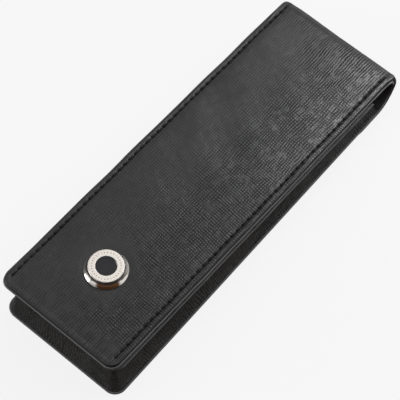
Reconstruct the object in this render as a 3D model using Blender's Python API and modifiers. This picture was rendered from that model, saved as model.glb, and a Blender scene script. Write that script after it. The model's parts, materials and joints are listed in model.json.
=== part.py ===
# Flat two-pen pouch in cross-grain leather, lying on its back.
#
# Axes: +X across the width, +Y along the length towards the folded end,
# +Z up from the table. The origin is the middle of the bounding box in X
# and Y, at table height.
#
# The outer leather is one strip on the real pouch: back panel, folded end,
# flap. It bends at the folded end, so here it is three solids: back_leather,
# fold_leather and flap_leather, joined by two hinge lines.
import math

import bmesh
import bpy
from mathutils import Matrix, Vector

MM = 0.001

# ---------------------------------------------------------------- dimensions
# all in millimetres, y measured from the flap's near edge
BODY_NEAR = -0.5          # near end of the pouch
NOSE_FAR = 161.2          # furthest point of the folded end
Y_MID = (BODY_NEAR + NOSE_FAR) / 2.0   # row frame origin

FLAP_W = 52.4             # flap width
FLAP_R = 4.0              # flap's near corner radius
FLAP_T = 2.8              # flap thickness
LIP_NEAR = 23.1           # height of the flap's under side at its near edge
SLOPE = 0.06375           # fall of the flap per mm of length
TILT = math.atan(SLOPE)

BACK_W = 54.2             # back panel width
BACK_R = 4.8              # its near corner radius
FRONT_W = 53.8            # front panel width
FRONT_R = 5.2
FRONT_NEAR = 0.45         # set back under the flap's lip
MOUTH_Y = 146.0           # far edge of the front panel, where the pens go in

LEATHER = 1.2             # outer leather
BACK_BOARD = 0.5          # stiffening board in the back
FLAP_BOARD = 0.6
FRONT_LEATHER = 1.0
FRONT_BOARD = 0.4
LINING = 0.5
FLAP_LINING = 0.6
FRONT_LINING = 0.4
GAP = 0.2                 # glue line between laminated layers
FLAP_GAP = 0.3            # closed flap to front panel

GUSSET_T = 1.0            # gusset leather
GUSSET_W = 53.7           # outer width over the gussets
GUSSET_R = 4.6
GUSSET_NEAR = -0.3        # at its foot
NEAR_LEAN = 0.85          # how far the near wall leans in towards its top
SIDE_LEAN = 0.1
GUSSET_FOLD = 3.0         # how deep the V fold goes in
FLANGE = 4.0              # gusset's sewn flange
DIVIDER_T = 0.8

STITCH_IN = 2.4           # stitch line to edge
THREAD_R = 0.2
GROOVE_R = 0.45

SNAP_Y = 27.5             # snap fastener, distance along the flap
SNAP_X = -1.0             # a little off the middle
CAP_R = 8.05              # decorative cap, base and top radius
CAP_TOP_R = 6.55
CAP_H = 2.7
RING_OUT = 6.3
RING_IN = 3.9
INLAY_R = 3.65

# hinge lines of the folded end (y, z) and how far each one opens
FOLD_LOWER = (159.0, 2.5)
FOLD_UPPER = (160.2, 14.6)


# ------------------------------------------------------------------- scene
for ob in list(bpy.data.objects):
    bpy.data.objects.remove(ob, do_unlink=True)

part_col = bpy.data.collections.new("pen_case")
cut_col = bpy.data.collections.new("cutters")
bpy.context.scene.collection.children.link(part_col)
bpy.context.scene.collection.children.link(cut_col)


def material(name, colour, rough, metal):
    mat = bpy.data.materials.new(name)
    mat.use_nodes = True
    bsdf = mat.node_tree.nodes["Principled BSDF"]
    bsdf.inputs["Base Color"].default_value = (*colour, 1.0)
    bsdf.inputs["Roughness"].default_value = rough
    bsdf.inputs["Metallic"].default_value = metal
    return mat


LEATHER_LOOK = ((0.022, 0.022, 0.024), 0.45, 0.0)
LINING_LOOK = ((0.030, 0.030, 0.033), 0.85, 0.0)
BOARD_LOOK = ((0.34, 0.31, 0.27), 0.9, 0.0)
THREAD_LOOK = ((0.012, 0.012, 0.013), 0.6, 0.0)
CHROME_LOOK = ((0.78, 0.76, 0.73), 0.08, 1.0)
RING_LOOK = ((0.90, 0.87, 0.82), 0.3, 1.0)
ONYX_LOOK = ((0.01, 0.01, 0.012), 0.08, 0.0)
NICKEL_LOOK = ((0.62, 0.60, 0.56), 0.25, 1.0)


def dress(ob, look, smooth_deg=None):
    ob.data.materials.clear()
    ob.data.materials.append(material(ob.name, *look))
    if smooth_deg is not None:
        ob.data.shade_smooth()
        ob.data.set_sharp_from_angle(angle=math.radians(smooth_deg))


def link(ob, cutter=False):
    (cut_col if cutter else part_col).objects.link(ob)
    if cutter:
        ob.hide_render = True
        ob.display_type = "WIRE"
    return ob


# ------------------------------------------------------------ plane geometry
def rounded_u(half_w, near, far, r, steps=5):
    """Outline with two rounded near corners and square far corners."""
    pts = [(half_w, far)]
    for i in range(steps + 1):
        a = math.radians(90.0 * i / steps)
        pts.append((half_w - r + r * math.cos(a), near + r - r * math.sin(a)))
    for i in range(steps + 1):
        a = math.radians(90.0 * i / steps)
        pts.append((-half_w + r - r * math.sin(a), near + r - r * math.cos(a)))
    pts.append((-half_w, far))
    return pts


def offset_chain(chain, d):
    """Open polyline moved sideways by d (left of its direction) with mitres."""
    out = []
    n = len(chain)
    for i in range(n):
        p = Vector(chain[i])
        dirs = []
        if i > 0:
            dirs.append((p - Vector(chain[i - 1])).normalized())
        if i < n - 1:
            dirs.append((Vector(chain[i + 1]) - p).normalized())
        normals = [Vector((-v.y, v.x)) for v in dirs]
        if len(normals) == 2:
            m = (normals[0] + normals[1]).normalized()
            m = m / max(0.3, m.dot(normals[0]))
        else:
            m = normals[0]
        out.append(tuple(p + m * d))
    return out


def band(chain, t_left, t_right):
    """Closed outline of a strip around an open chain."""
    return offset_chain(chain, t_left) + offset_chain(chain, t_right)[::-1]


def top_z(y, w=FLAP_T):
    """Height of the plane that lies w above the flap's under side."""
    return LIP_NEAR - SLOPE * y + w / math.cos(TILT)


def bezier(p0, p1, p2, p3, n):
    pts = []
    for i in range(n + 1):
        t = i / n
        s = 1.0 - t
        pts.append(tuple(
            s ** 3 * a + 3 * s * s * t * b + 3 * s * t * t * c + t ** 3 * d
            for a, b, c, d in zip(p0, p1, p2, p3)))
    return pts


# Outer skin of the folded end, from the table up and over to the flap's top.
NOSE_LEVEL = 10.4
LOWER_NOSE = bezier((149.0, 0.0), (154.5, 0.0), (NOSE_FAR, 5.2),
                    (NOSE_FAR, NOSE_LEVEL), 14)
ROLL_Y = 155.2
UPPER_NOSE = bezier((NOSE_FAR, NOSE_LEVEL), (NOSE_FAR, 13.6),
                    (159.2, top_z(159.2)), (ROLL_Y, top_z(ROLL_Y)), 10)
LOWER_SPLIT = 9           # index on LOWER_NOSE of the lower hinge seam
UPPER_SPLIT = 6           # index on UPPER_NOSE of the upper hinge seam


# -------------------------------------------------------------------- makers
def curve_to_mesh(cu_ob, name, cutter=False):
    """Mesh from a curve object with its caps welded."""
    bpy.context.view_layer.update()
    deps = bpy.context.evaluated_depsgraph_get()
    me = bpy.data.meshes.new_from_object(cu_ob.evaluated_get(deps))
    bm = bmesh.new()
    bm.from_mesh(me)
    bmesh.ops.remove_doubles(bm, verts=bm.verts, dist=1e-6)
    bmesh.ops.recalc_face_normals(bm, faces=bm.faces)
    bm.to_mesh(me)
    bm.free()
    ob = bpy.data.objects.new(name, me)
    ob.matrix_world = cu_ob.matrix_world.copy()
    cu = cu_ob.data
    bpy.data.objects.remove(cu_ob, do_unlink=True)
    bpy.data.curves.remove(cu)
    me.name = name
    return link(ob, cutter)


def flat_curve(name, outlines, half_t):
    cu = bpy.data.curves.new(name, "CURVE")
    cu.dimensions = "2D"
    cu.fill_mode = "BOTH"
    cu.extrude = half_t * MM
    for outline in outlines:
        sp = cu.splines.new("POLY")
        sp.points.add(len(outline) - 1)
        for p, (a, b) in zip(sp.points, outline):
            p.co = (a * MM, b * MM, 0.0, 1.0)
        sp.use_cyclic_u = True
    ob = bpy.data.objects.new(name + "_curve", cu)
    part_col.objects.link(ob)
    return ob


def plan_prism(name, outline, z0, z1, holes=(), cutter=False):
    """Outline in x, y (y from the near edge) stood up from z0 to z1."""
    loops = [[(x, y - Y_MID) for x, y in loop] for loop in (outline, *holes)]
    ob = flat_curve(name, loops, (z1 - z0) / 2.0)
    ob.location = (0.0, 0.0, (z0 + z1) / 2.0 * MM)
    return curve_to_mesh(ob, name, cutter)


def side_prism(name, outline, half_w, x_mid=0.0, cutter=False):
    """Outline in y, z pushed out across the width."""
    loop = [(y - Y_MID, z) for y, z in outline]
    ob = flat_curve(name, [loop], half_w)
    # curve X -> world Y, curve Y -> world Z, curve Z -> world X
    ob.matrix_world = Matrix(((0, 0, 1, x_mid * MM), (1, 0, 0, 0),
                              (0, 1, 0, 0), (0, 0, 0, 1)))
    return curve_to_mesh(ob, name, cutter)


def cut(ob, tool, operation="DIFFERENCE"):
    mod = ob.modifiers.new(operation.lower(), "BOOLEAN")
    mod.operation = operation
    mod.solver = "EXACT"
    mod.object = tool
    return mod


def disc(r, cx, cy, n=32):
    return [(cx + r * math.cos(2 * math.pi * i / n),
             cy + r * math.sin(2 * math.pi * i / n)) for i in range(n)]


def flap_frame(y_along, w):
    """Placement on the flap: origin at that distance and height, Z = normal."""
    c, s = math.cos(TILT), math.sin(TILT)
    y = y_along * c + w * s
    z = LIP_NEAR - y_along * s + w * c
    return (Matrix.Translation((0.0, (y - Y_MID) * MM, z * MM))
            @ Matrix.Rotation(-TILT, 4, "X"))


def turned(name, profile, steps=32, x=SNAP_X, y_along=SNAP_Y, w=0.0):
    """Profile (r, w) at +X, top to bottom down the outer side, then spun."""
    me = bpy.data.meshes.new(name)
    closed = profile[0][0] > 0.0 and profile[-1][0] > 0.0
    verts = [(r * MM, 0.0, h * MM) for r, h in profile]
    edges = [(i, i + 1) for i in range(len(profile) - 1)]
    if closed:
        edges.append((len(profile) - 1, 0))
    me.from_pydata(verts, edges, [])
    ob = link(bpy.data.objects.new(name, me))
    mod = ob.modifiers.new("spin", "SCREW")
    mod.angle = 2.0 * math.pi
    mod.steps = steps
    mod.render_steps = steps
    mod.use_merge_vertices = True
    mod.merge_threshold = 0.00001
    ob.matrix_world = Matrix.Translation((x * MM, 0, 0)) @ flap_frame(y_along, w)
    return ob


def tube(name, points, radius, sides=2, cutter=False):
    """Thin tube along world points in mm (y from the near edge)."""
    cu = bpy.data.curves.new(name, "CURVE")
    cu.dimensions = "3D"
    cu.bevel_depth = radius * MM
    cu.bevel_resolution = sides
    cu.use_fill_caps = True
    sp = cu.splines.new("POLY")
    sp.points.add(len(points) - 1)
    for p, (x, y, z) in zip(sp.points, points):
        p.co = (x * MM, (y - Y_MID) * MM, z * MM, 1.0)
    ob = bpy.data.objects.new(name + "_curve", cu)
    part_col.objects.link(ob)
    return curve_to_mesh(ob, name, cutter)


def loft(name, stations):
    """Closed strip lofted through stations; each is (outer chain, inner chain)."""
    bm = bmesh.new()
    rows = []
    for outer, inner in stations:
        rows.append(([bm.verts.new((x * MM, (y - Y_MID) * MM, z * MM))
                      for x, y, z in outer],
                     [bm.verts.new((x * MM, (y - Y_MID) * MM, z * MM))
                      for x, y, z in inner]))
    for (o0, i0), (o1, i1) in zip(rows, rows[1:]):
        for k in range(len(o0) - 1):
            bm.faces.new((o0[k], o0[k + 1], o1[k + 1], o1[k]))
            bm.faces.new((i0[k + 1], i0[k], i1[k], i1[k + 1]))
        bm.faces.new((i0[0], o0[0], o1[0], i1[0]))
        bm.faces.new((o0[-1], i0[-1], i1[-1], o1[-1]))
    for o, i in (rows[0], rows[-1]):
        for k in range(len(o) - 1):
            bm.faces.new((o[k], i[k], i[k + 1], o[k + 1]))
    bmesh.ops.recalc_face_normals(bm, faces=bm.faces)
    me = bpy.data.meshes.new(name)
    bm.to_mesh(me)
    bm.free()
    return link(bpy.data.objects.new(name, me))


def stitch_path(half_w, near, far, r, height):
    """U-shaped seam STITCH_IN inside an outline, at height(y)."""
    loop = rounded_u(half_w - STITCH_IN, near + STITCH_IN, far,
                     max(0.8, r - STITCH_IN), 4)
    return [(x, y, height(y)) for x, y in loop]


# ---------------------------------------------------------------- back panel
# The back leather runs flat on the table and turns up into the folded end.
back_chain = [(BODY_NEAR - 2.0, 0.0)] + LOWER_NOSE[:LOWER_SPLIT + 1]
back_leather = side_prism("back_leather", band(back_chain, LEATHER, 0.0),
                          BACK_W / 2.0)
outline = rounded_u(BACK_W / 2.0, BODY_NEAR, 150.0, BACK_R)
outline = ([(26.6, 161.0)] + outline[:1] + outline[1:-1] + outline[-1:]
           + [(-26.6, 161.0)])
back_plan = plan_prism("back_plan", outline, -5.0, 12.0, cutter=True)
cut(back_leather, back_plan, "INTERSECT")
BACK_SEAM_Z = 0.2
back_groove = tube("back_groove",
                   stitch_path(BACK_W / 2.0, BODY_NEAR, 141.0, BACK_R,
                               lambda y: BACK_SEAM_Z), GROOVE_R, 1, cutter=True)
cut(back_leather, back_groove)
dress(back_leather, LEATHER_LOOK, 30)

back_stitching = tube("back_stitching",
                      stitch_path(BACK_W / 2.0, BODY_NEAR, 140.6, BACK_R,
                                  lambda y: BACK_SEAM_Z + 0.05),
                      THREAD_R, 1)
dress(back_stitching, THREAD_LOOK, 60)

inner_half = GUSSET_W / 2.0 - FLANGE - 0.7   # clear of the sewn flanges
inner_near = GUSSET_NEAR + FLANGE + 0.7
back_board = plan_prism(
    "back_board", rounded_u(inner_half, inner_near, 143.5, 2.0, 3),
    LEATHER + GAP, LEATHER + GAP + BACK_BOARD)
dress(back_board, BOARD_LOOK)

lining_z = LEATHER + GAP + BACK_BOARD + GAP
nose_in = offset_chain(LOWER_NOSE, LEATHER + GAP)
lining_chain = ([(inner_near, lining_z), (143.8, lining_z), (146.5, LEATHER + GAP)]
                + nose_in[1:LOWER_SPLIT])
back_lining = side_prism("back_lining", band(lining_chain, LINING, 0.0),
                         inner_half)
dress(back_lining, LINING_LOOK, 30)

# -------------------------------------------------------------- folded end
fold_chain = LOWER_NOSE[LOWER_SPLIT:] + UPPER_NOSE[1:UPPER_SPLIT + 1]


def trimmed(chain, a, b):
    """Chain shortened by a at its start and b at its end."""
    pts = [Vector(p) for p in chain]
    d = (pts[1] - pts[0]).normalized()
    pts[0] = pts[0] + d * a
    d = (pts[-2] - pts[-1]).normalized()
    pts[-1] = pts[-1] + d * b
    return [tuple(p) for p in pts]


fold_leather = side_prism("fold_leather",
                          band(trimmed(fold_chain, 0.3, 0.3), LEATHER, 0.0),
                          FLAP_W / 2.0)
dress(fold_leather, LEATHER_LOOK, 30)
fold_in = offset_chain(fold_chain, LEATHER + GAP)
fold_lining = side_prism("fold_lining",
                         band(trimmed(fold_in, 0.4, 0.4), LINING, 0.0),
                         FLAP_W / 2.0 - 2.9)
dress(fold_lining, LINING_LOOK, 30)

# -------------------------------------------------------------------- flap
flap_chain = (UPPER_NOSE[UPPER_SPLIT:]
              + [(-3.0, top_z(-3.0))])
flap_leather = side_prism("flap_leather", band(flap_chain, LEATHER, 0.0),
                          FLAP_W / 2.0)
flap_plan = plan_prism("flap_plan", rounded_u(FLAP_W / 2.0, 0.0, 165.0, FLAP_R),
                       5.0, 32.0, cutter=True)
cut(flap_leather, flap_plan, "INTERSECT")
flap_groove = tube("flap_groove",
                   stitch_path(FLAP_W / 2.0, 0.0, 154.4, FLAP_R,
                               lambda y: top_z(y, FLAP_T - 0.1)),
                   GROOVE_R, 1, cutter=True)
cut(flap_leather, flap_groove)

flap_stitching = tube("flap_stitching",
                      stitch_path(FLAP_W / 2.0, 0.0, 154.0, FLAP_R,
                                  lambda y: top_z(y, FLAP_T - 0.15)),
                      THREAD_R, 1)
dress(flap_stitching, THREAD_LOOK, 60)


def flap_drill(name, radius):
    me = bpy.data.meshes.new(name)
    bm = bmesh.new()
    bmesh.ops.create_cone(bm, cap_ends=True, segments=32, radius1=radius * MM,
                          radius2=radius * MM, depth=8.0 * MM)
    bm.to_mesh(me)
    bm.free()
    ob = link(bpy.data.objects.new(name, me), cutter=True)
    ob.matrix_world = (Matrix.Translation((SNAP_X * MM, 0, 0))
                       @ flap_frame(SNAP_Y, 0.8))
    return ob


post_drill = flap_drill("post_drill", 1.9)
cut(flap_leather, post_drill)
dress(flap_leather, LEATHER_LOOK, 30)

flap_in = 2.9             # board and lining are set in from the flap's edge
w_lining = 0.0
w_board = FLAP_LINING + GAP


def flap_layer(name, w0, w1, inset, far):
    chain = [(inset, top_z(inset, w0)), (far, top_z(far, w0))]
    loop = [chain[0], chain[1], (far, top_z(far, w1)), (inset, top_z(inset, w1))]
    ob = side_prism(name, loop, FLAP_W / 2.0 - inset)
    return ob


flap_board = flap_layer("flap_board", w_board, w_board + FLAP_BOARD, flap_in, 147.5)
socket_drill = flap_drill("socket_drill", 5.7)
cut(flap_board, socket_drill)
dress(flap_board, BOARD_LOOK)

# The lining reaches the flap's painted edge and dips over the folded end.
upper_in = offset_chain(UPPER_NOSE, LEATHER + GAP)
flap_lining_chain = (upper_in[UPPER_SPLIT + 1:]
                     + [(150.8, top_z(150.8, FLAP_T - LEATHER - GAP)),
                        (148.0, top_z(148.0, FLAP_LINING)),
                        (-3.0, top_z(-3.0, FLAP_LINING))])
flap_lining = side_prism("flap_lining", band(flap_lining_chain, FLAP_LINING, 0.0),
                         FLAP_W / 2.0)
lining_plan = plan_prism(
    "lining_plan", rounded_u(FLAP_W / 2.0 - 0.05, 0.05, 165.0, FLAP_R),
    5.0, 32.0, cutter=True)
cut(flap_lining, lining_plan, "INTERSECT")
cut(flap_lining, socket_drill)
dress(flap_lining, LINING_LOOK, 30)

# -------------------------------------------------------------- front panel
w_front = -FLAP_GAP                       # its top, below the flap
w_front_under = w_front - FRONT_LEATHER   # its under side


def front_layer(name, w1, w0, near, far, half_w):
    loop = [(near, top_z(near, w0)), (far, top_z(far, w0)),
            (far, top_z(far, w1)), (near, top_z(near, w1))]
    return side_prism(name, loop, half_w)


front_leather = front_layer("front_leather", w_front, w_front_under, -3.0,
                            MOUTH_Y, FRONT_W / 2.0)
front_plan = plan_prism("front_plan",
                        rounded_u(FRONT_W / 2.0, FRONT_NEAR, 150.0, FRONT_R),
                        2.0, 30.0, cutter=True)
cut(front_leather, front_plan, "INTERSECT")
front_groove = tube("front_groove",
                    stitch_path(FRONT_W / 2.0, FRONT_NEAR, 144.4, FRONT_R,
                                lambda y: top_z(y, w_front - 0.15)),
                    GROOVE_R, 1, cutter=True)
cut(front_leather, front_groove)
# hole for the stud's rivet and a seat for its flange
rivet_drill = flap_drill("rivet_drill", 1.9)
rivet_drill.matrix_world = (Matrix.Translation((SNAP_X * MM, 0, 0))
                            @ flap_frame(SNAP_Y, -3.0))
cut(front_leather, rivet_drill)
seat_drill = flap_drill("seat_drill", 5.1)
seat_drill.matrix_world = (Matrix.Translation((SNAP_X * MM, 0, 0))
                           @ flap_frame(SNAP_Y, w_front - 0.6 + 4.0))
cut(front_leather, seat_drill)
dress(front_leather, LEATHER_LOOK, 30)

front_stitching = tube("front_stitching",
                       stitch_path(FRONT_W / 2.0, FRONT_NEAR, 144.0, FRONT_R,
                                   lambda y: top_z(y, w_front - 0.25)),
                       THREAD_R, 1)
dress(front_stitching, THREAD_LOOK, 60)

w_fboard = w_front_under - GAP
front_board = front_layer("front_board", w_fboard, w_fboard - FRONT_BOARD,
                          inner_near + NEAR_LEAN + 0.2, 143.5, inner_half)
board_drill = flap_drill("board_drill", 5.1)
board_drill.matrix_world = (Matrix.Translation((SNAP_X * MM, 0, 0))
                            @ flap_frame(SNAP_Y, -3.0))
cut(front_board, board_drill)
dress(front_board, BOARD_LOOK)
w_flining = w_fboard - FRONT_BOARD - GAP
front_lining = front_layer("front_lining", w_flining, w_flining - FRONT_LINING,
                           inner_near + NEAR_LEAN + 0.2, MOUTH_Y - 0.4,
                           inner_half)
dress(front_lining, LINING_LOOK)

# ------------------------------------------------------------------ gussets
# One V-folded strip goes round the two sides and the near end. It is sewn in
# three lengths that butt together just past the corners.
def gusset_top(y):
    return top_z(y, w_front_under - GAP)


GUSSET_FOOT = LEATHER + GAP


def gusset_section(y_plan):
    """Chain (inset, z) from the lower flange's inner end to the upper one's."""
    z0 = GUSSET_FOOT + GUSSET_T / 2.0
    z1 = gusset_top(y_plan) - GUSSET_T / 2.0
    zm = (z0 + z1) / 2.0
    h = z1 - z0
    half = GUSSET_T / 2.0
    return [(FLANGE, z0), (half, z0), (half + 0.35, z0 + 0.14 * h),
            (half + 0.62 * GUSSET_FOLD, z0 + 0.33 * h),
            (half + GUSSET_FOLD, zm),
            (half + 0.62 * GUSSET_FOLD, z1 - 0.33 * h),
            (half + 0.35, z1 - 0.14 * h), (half, z1), (FLANGE, z1)]


def plan_point(side, s, e):
    """Point on the U-shaped plan path, s in (straight y | corner angle)."""
    half = GUSSET_W / 2.0
    kind, val = s
    if kind == "side":
        return side * (half - e), val
    if kind == "corner":
        a = math.radians(val)
        r = GUSSET_R - e
        return (side * (half - GUSSET_R + r * math.cos(a)),
                GUSSET_NEAR + GUSSET_R - r * math.sin(a))
    return val, GUSSET_NEAR + e


def leaning(chain, s):
    """Shear of a section, so that its top stands further in than its foot."""
    kind, val = s
    k = {"side": 0.0, "near": 1.0}.get(kind)
    if k is None:
        k = math.sin(math.radians(val)) ** 2
    lean = SIDE_LEAN + (NEAR_LEAN - SIDE_LEAN) * k
    z0, z1 = chain[0][1], chain[-1][1]
    return [(e + lean * (z - z0) / (z1 - z0), z) for e, z in chain]


def gusset_station(side, s):
    y_ref = plan_point(side, s, 2.6)[1]
    chain = leaning(gusset_section(y_ref), s)
    lo = offset_chain(chain, GUSSET_T / 2.0)
    hi = offset_chain(chain, -GUSSET_T / 2.0)
    a = [(*plan_point(side, s, e), z) for e, z in lo]
    b = [(*plan_point(side, s, e), z) for e, z in hi]
    return a, b


SEAM_X = GUSSET_W / 2.0 - GUSSET_R        # where the lengths butt
for side, label in ((-1, "left_gusset"), (1, "right_gusset")):
    stations = [gusset_station(side, ("side", MOUTH_Y)),
                gusset_station(side, ("side", GUSSET_NEAR + GUSSET_R))]
    for i in range(1, 6):
        stations.append(gusset_station(side, ("corner", 18.0 * i)))
    stations[-1] = gusset_station(side, ("corner", 89.9))
    ob = loft(label, stations)
    dress(ob, LEATHER_LOOK, 25)
bottom_gusset = loft("bottom_gusset",
                     [gusset_station(1, ("near", -SEAM_X + 0.3)),
                      gusset_station(1, ("near", SEAM_X - 0.3))])
dress(bottom_gusset, LEATHER_LOOK, 25)


# ------------------------------------------------------------------ divider
def divider_station(y):
    z0 = lining_z + LINING + GAP
    z1 = top_z(y, w_flining - FRONT_LINING - GAP)
    t = DIVIDER_T / 2.0
    f = 3.0                               # glued foot and head, one side each
    lo = [(-t, y, z0), (-t, y, z0 + 0.9), (-t, y, z1 - 0.9), (-t, y, z1)]
    hi = [(f, y, z0), (t, y, z0 + 0.9), (t, y, z1 - 0.9), (f, y, z1)]
    return lo, hi


divider = loft("divider", [divider_station(6.0), divider_station(140.0)])
dress(divider, LINING_LOOK)

# ----------------------------------------------------------- snap fastener
# heights here are above the flap's under side
cap0 = FLAP_T + 0.1
tray = cap0 + CAP_H - 0.75
# a cup over the rivet's head, with a shallow tray for ring and inlay
button_cap = turned("button_cap", [
    (0.0, tray), (RING_OUT + 0.12, tray), (RING_OUT + 0.12, cap0 + CAP_H),
    (CAP_TOP_R, cap0 + CAP_H), (CAP_TOP_R + 0.18, cap0 + CAP_H - 0.18),
    (CAP_R - 0.2, cap0 + 0.8), (CAP_R, cap0 + 0.5), (CAP_R, cap0 + 0.12),
    (CAP_R - 0.12, cap0), (CAP_R - 0.7, cap0),
    (CAP_R - 0.85, cap0 + 0.6), (CAP_TOP_R - 0.5, cap0 + 1.2),
    (0.0, cap0 + 1.2)], steps=48)
dress(button_cap, CHROME_LOOK, 35)

button_ring = turned("button_ring", [
    (RING_IN, tray + 0.2), (RING_IN, tray + 0.62), (RING_IN + 0.12, tray + 0.74),
    (RING_OUT - 0.25, tray + 0.74), (RING_OUT - 0.1, tray + 0.62),
    (RING_OUT - 0.1, tray + 0.2)], steps=40)
dress(button_ring, RING_LOOK, 35)

button_inlay = turned("button_inlay", [
    (0.0, tray + 0.86), (1.4, tray + 0.83), (2.6, tray + 0.74),
    (INLAY_R - 0.2, tray + 0.6), (INLAY_R, tray + 0.45), (INLAY_R, tray + 0.2),
    (0.0, tray + 0.2)], steps=32)
dress(button_inlay, ONYX_LOOK, 35)

# rivet that holds the cap and the socket together through the leather
button_rivet = turned("button_rivet", [
    (0.0, cap0 + 0.9), (5.0, cap0 + 0.9), (5.4, cap0 + 0.5), (5.4, cap0 + 0.2),
    (1.55, cap0 + 0.2), (1.55, 1.75), (0.0, 1.75)], steps=24)
dress(button_rivet, NICKEL_LOOK, 35)

# socket: flange against the leather, bore open downwards for the stud
snap_socket = turned("snap_socket", [
    (1.8, 1.35), (5.2, 1.35), (5.4, 1.15), (5.4, 0.65), (4.2, 0.3), (3.6, 0.05),
    (2.75, 0.05), (2.75, 0.3), (3.25, 0.45), (3.25, 0.85), (2.75, 1.0),
    (1.8, 1.0)], steps=32)
dress(snap_socket, NICKEL_LOOK, 35)

socket_spring = turned("socket_spring", [
    (2.75, 0.74), (3.0, 0.72), (3.08, 0.62), (3.0, 0.52), (2.75, 0.5),
    (2.45, 0.54), (2.35, 0.62), (2.45, 0.7)], steps=28)
dress(socket_spring, NICKEL_LOOK, 60)

# stud: flange in its seat on the front panel, head up in the socket
seat = w_front - 0.6
snap_stud = turned("snap_stud", [
    (0.0, 0.86), (1.2, 0.82), (1.9, 0.6), (2.05, 0.35), (1.85, 0.1),
    (1.75, -0.1), (1.9, seat + 0.42), (4.6, seat + 0.42), (4.8, seat + 0.3),
    (4.8, seat + 0.15), (1.9, seat + 0.15), (1.3, seat + 0.15),
    (1.3, 0.2), (0.0, 0.2)], steps=28)
dress(snap_stud, NICKEL_LOOK, 35)

stud_rivet = turned("stud_rivet", [
    (0.0, -0.1), (1.05, -0.1), (1.05, w_front_under - 0.2),
    (4.3, w_front_under - 0.2), (4.6, w_front_under - 0.35),
    (4.6, w_front_under - 0.55), (0.0, w_front_under - 0.55)], steps=24)
dress(stud_rivet, NICKEL_LOOK, 35)

# ------------------------------------------------------------------- joints
# Empties on the two hinge lines; each moving piece hangs from its own.
def hinge(name, yz):
    ob = bpy.data.objects.new(name, None)
    ob.location = (0.0, (yz[0] - Y_MID) * MM, yz[1] * MM)
    ob.empty_display_size = 0.01
    part_col.objects.link(ob)
    return ob


fold_lower = hinge("fold_lower_axis", FOLD_LOWER)
fold_upper = hinge("fold_upper_axis", FOLD_UPPER)
bpy.context.view_layer.update()


def hang(ob, parent):
    keep = ob.matrix_world.copy()
    ob.parent = parent
    ob.matrix_parent_inverse = parent.matrix_world.inverted()
    ob.matrix_world = keep


for ob in (fold_leather, fold_lining, fold_upper):
    hang(ob, fold_lower)
bpy.context.view_layer.update()
for ob in (flap_leather, flap_board, flap_lining, flap_stitching, button_cap,
           button_ring, button_inlay, button_rivet, snap_socket, socket_spring):
    hang(ob, fold_upper)
bpy.context.view_layer.update()
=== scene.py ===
import json
import math

import bpy
import numpy as np
from mathutils import Matrix, Vector

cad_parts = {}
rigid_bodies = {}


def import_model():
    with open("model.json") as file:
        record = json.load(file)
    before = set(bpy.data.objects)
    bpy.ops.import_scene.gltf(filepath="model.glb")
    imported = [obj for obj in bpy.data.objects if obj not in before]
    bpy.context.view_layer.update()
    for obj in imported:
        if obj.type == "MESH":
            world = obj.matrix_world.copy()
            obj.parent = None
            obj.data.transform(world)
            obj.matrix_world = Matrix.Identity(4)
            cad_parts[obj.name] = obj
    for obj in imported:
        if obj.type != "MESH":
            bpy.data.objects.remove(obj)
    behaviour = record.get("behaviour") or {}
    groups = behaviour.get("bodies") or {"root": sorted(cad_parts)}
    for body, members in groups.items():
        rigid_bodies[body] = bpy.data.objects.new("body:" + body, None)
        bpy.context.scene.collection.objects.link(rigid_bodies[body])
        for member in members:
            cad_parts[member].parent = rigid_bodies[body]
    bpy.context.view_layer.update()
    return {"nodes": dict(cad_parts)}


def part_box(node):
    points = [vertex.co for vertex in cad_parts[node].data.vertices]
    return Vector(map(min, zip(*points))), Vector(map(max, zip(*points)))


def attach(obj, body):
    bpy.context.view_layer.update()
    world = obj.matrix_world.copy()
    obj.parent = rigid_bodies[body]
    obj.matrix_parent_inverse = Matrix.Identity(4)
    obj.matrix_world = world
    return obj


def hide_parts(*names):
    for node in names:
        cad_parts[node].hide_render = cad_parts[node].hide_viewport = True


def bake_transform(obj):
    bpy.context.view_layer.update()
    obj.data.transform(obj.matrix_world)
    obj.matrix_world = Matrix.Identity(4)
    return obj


for _ob in list(bpy.data.objects):
    bpy.data.objects.remove(_ob, do_unlink=True)

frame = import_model()

# =============================================================== dimensions
# Millimetres. y runs from the flap's near edge; the row frame's origin is at
# Y_MID. They repeat the CAD's dimensions; some are read from its boxes.
MM = 0.001
_lo, _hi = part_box("flap_leather")
Y_MID = 80.35
FLAP_HW = round(_hi.x * 1000, 3)                  # half of the flap's width
FLAP_R = 4.0
FLAP_T = 2.8
LIP_NEAR = 23.1
SLOPE = 0.06375
TILT = math.atan(SLOPE)
BACK_HW = round(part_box("back_leather")[1].x * 1000, 3)
BACK_R = 4.8
BODY_NEAR = round(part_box("back_leather")[0].y * 1000 + Y_MID, 3)
FRONT_HW = round(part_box("front_leather")[1].x * 1000, 3)
FRONT_R = 5.2
FRONT_NEAR = 0.45
MOUTH_Y = 146.0
NOSE_FAR = 161.2
NOSE_LEVEL = 10.4
ROLL_Y = 155.2
LEATHER = 1.2
GUSSET_HW = 26.85
GUSSET_R = 4.6
NEAR_LEAN = 0.85
SIDE_LEAN = 0.1
GUSSET_T = 1.0
SNAP_Y = 27.5
SNAP_X = -1.0
FLAP_GAP = 0.3
FRONT_T = 2.2
STITCH_IN = 2.4
PITCH = 3.1                                        # stitch length

rng = np.random.default_rng(7)


def top_z(y, w=FLAP_T):
    """Height of the plane w above the flap's under side."""
    return LIP_NEAR - SLOPE * y + w / math.cos(TILT)


def bezier(p0, p1, p2, p3, n):
    t = np.linspace(0, 1, n + 1)[:, None]
    s = 1 - t
    p0, p1, p2, p3 = (np.array(p, float) for p in (p0, p1, p2, p3))
    return s ** 3 * p0 + 3 * s * s * t * p1 + 3 * s * t * t * p2 + t ** 3 * p3


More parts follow.
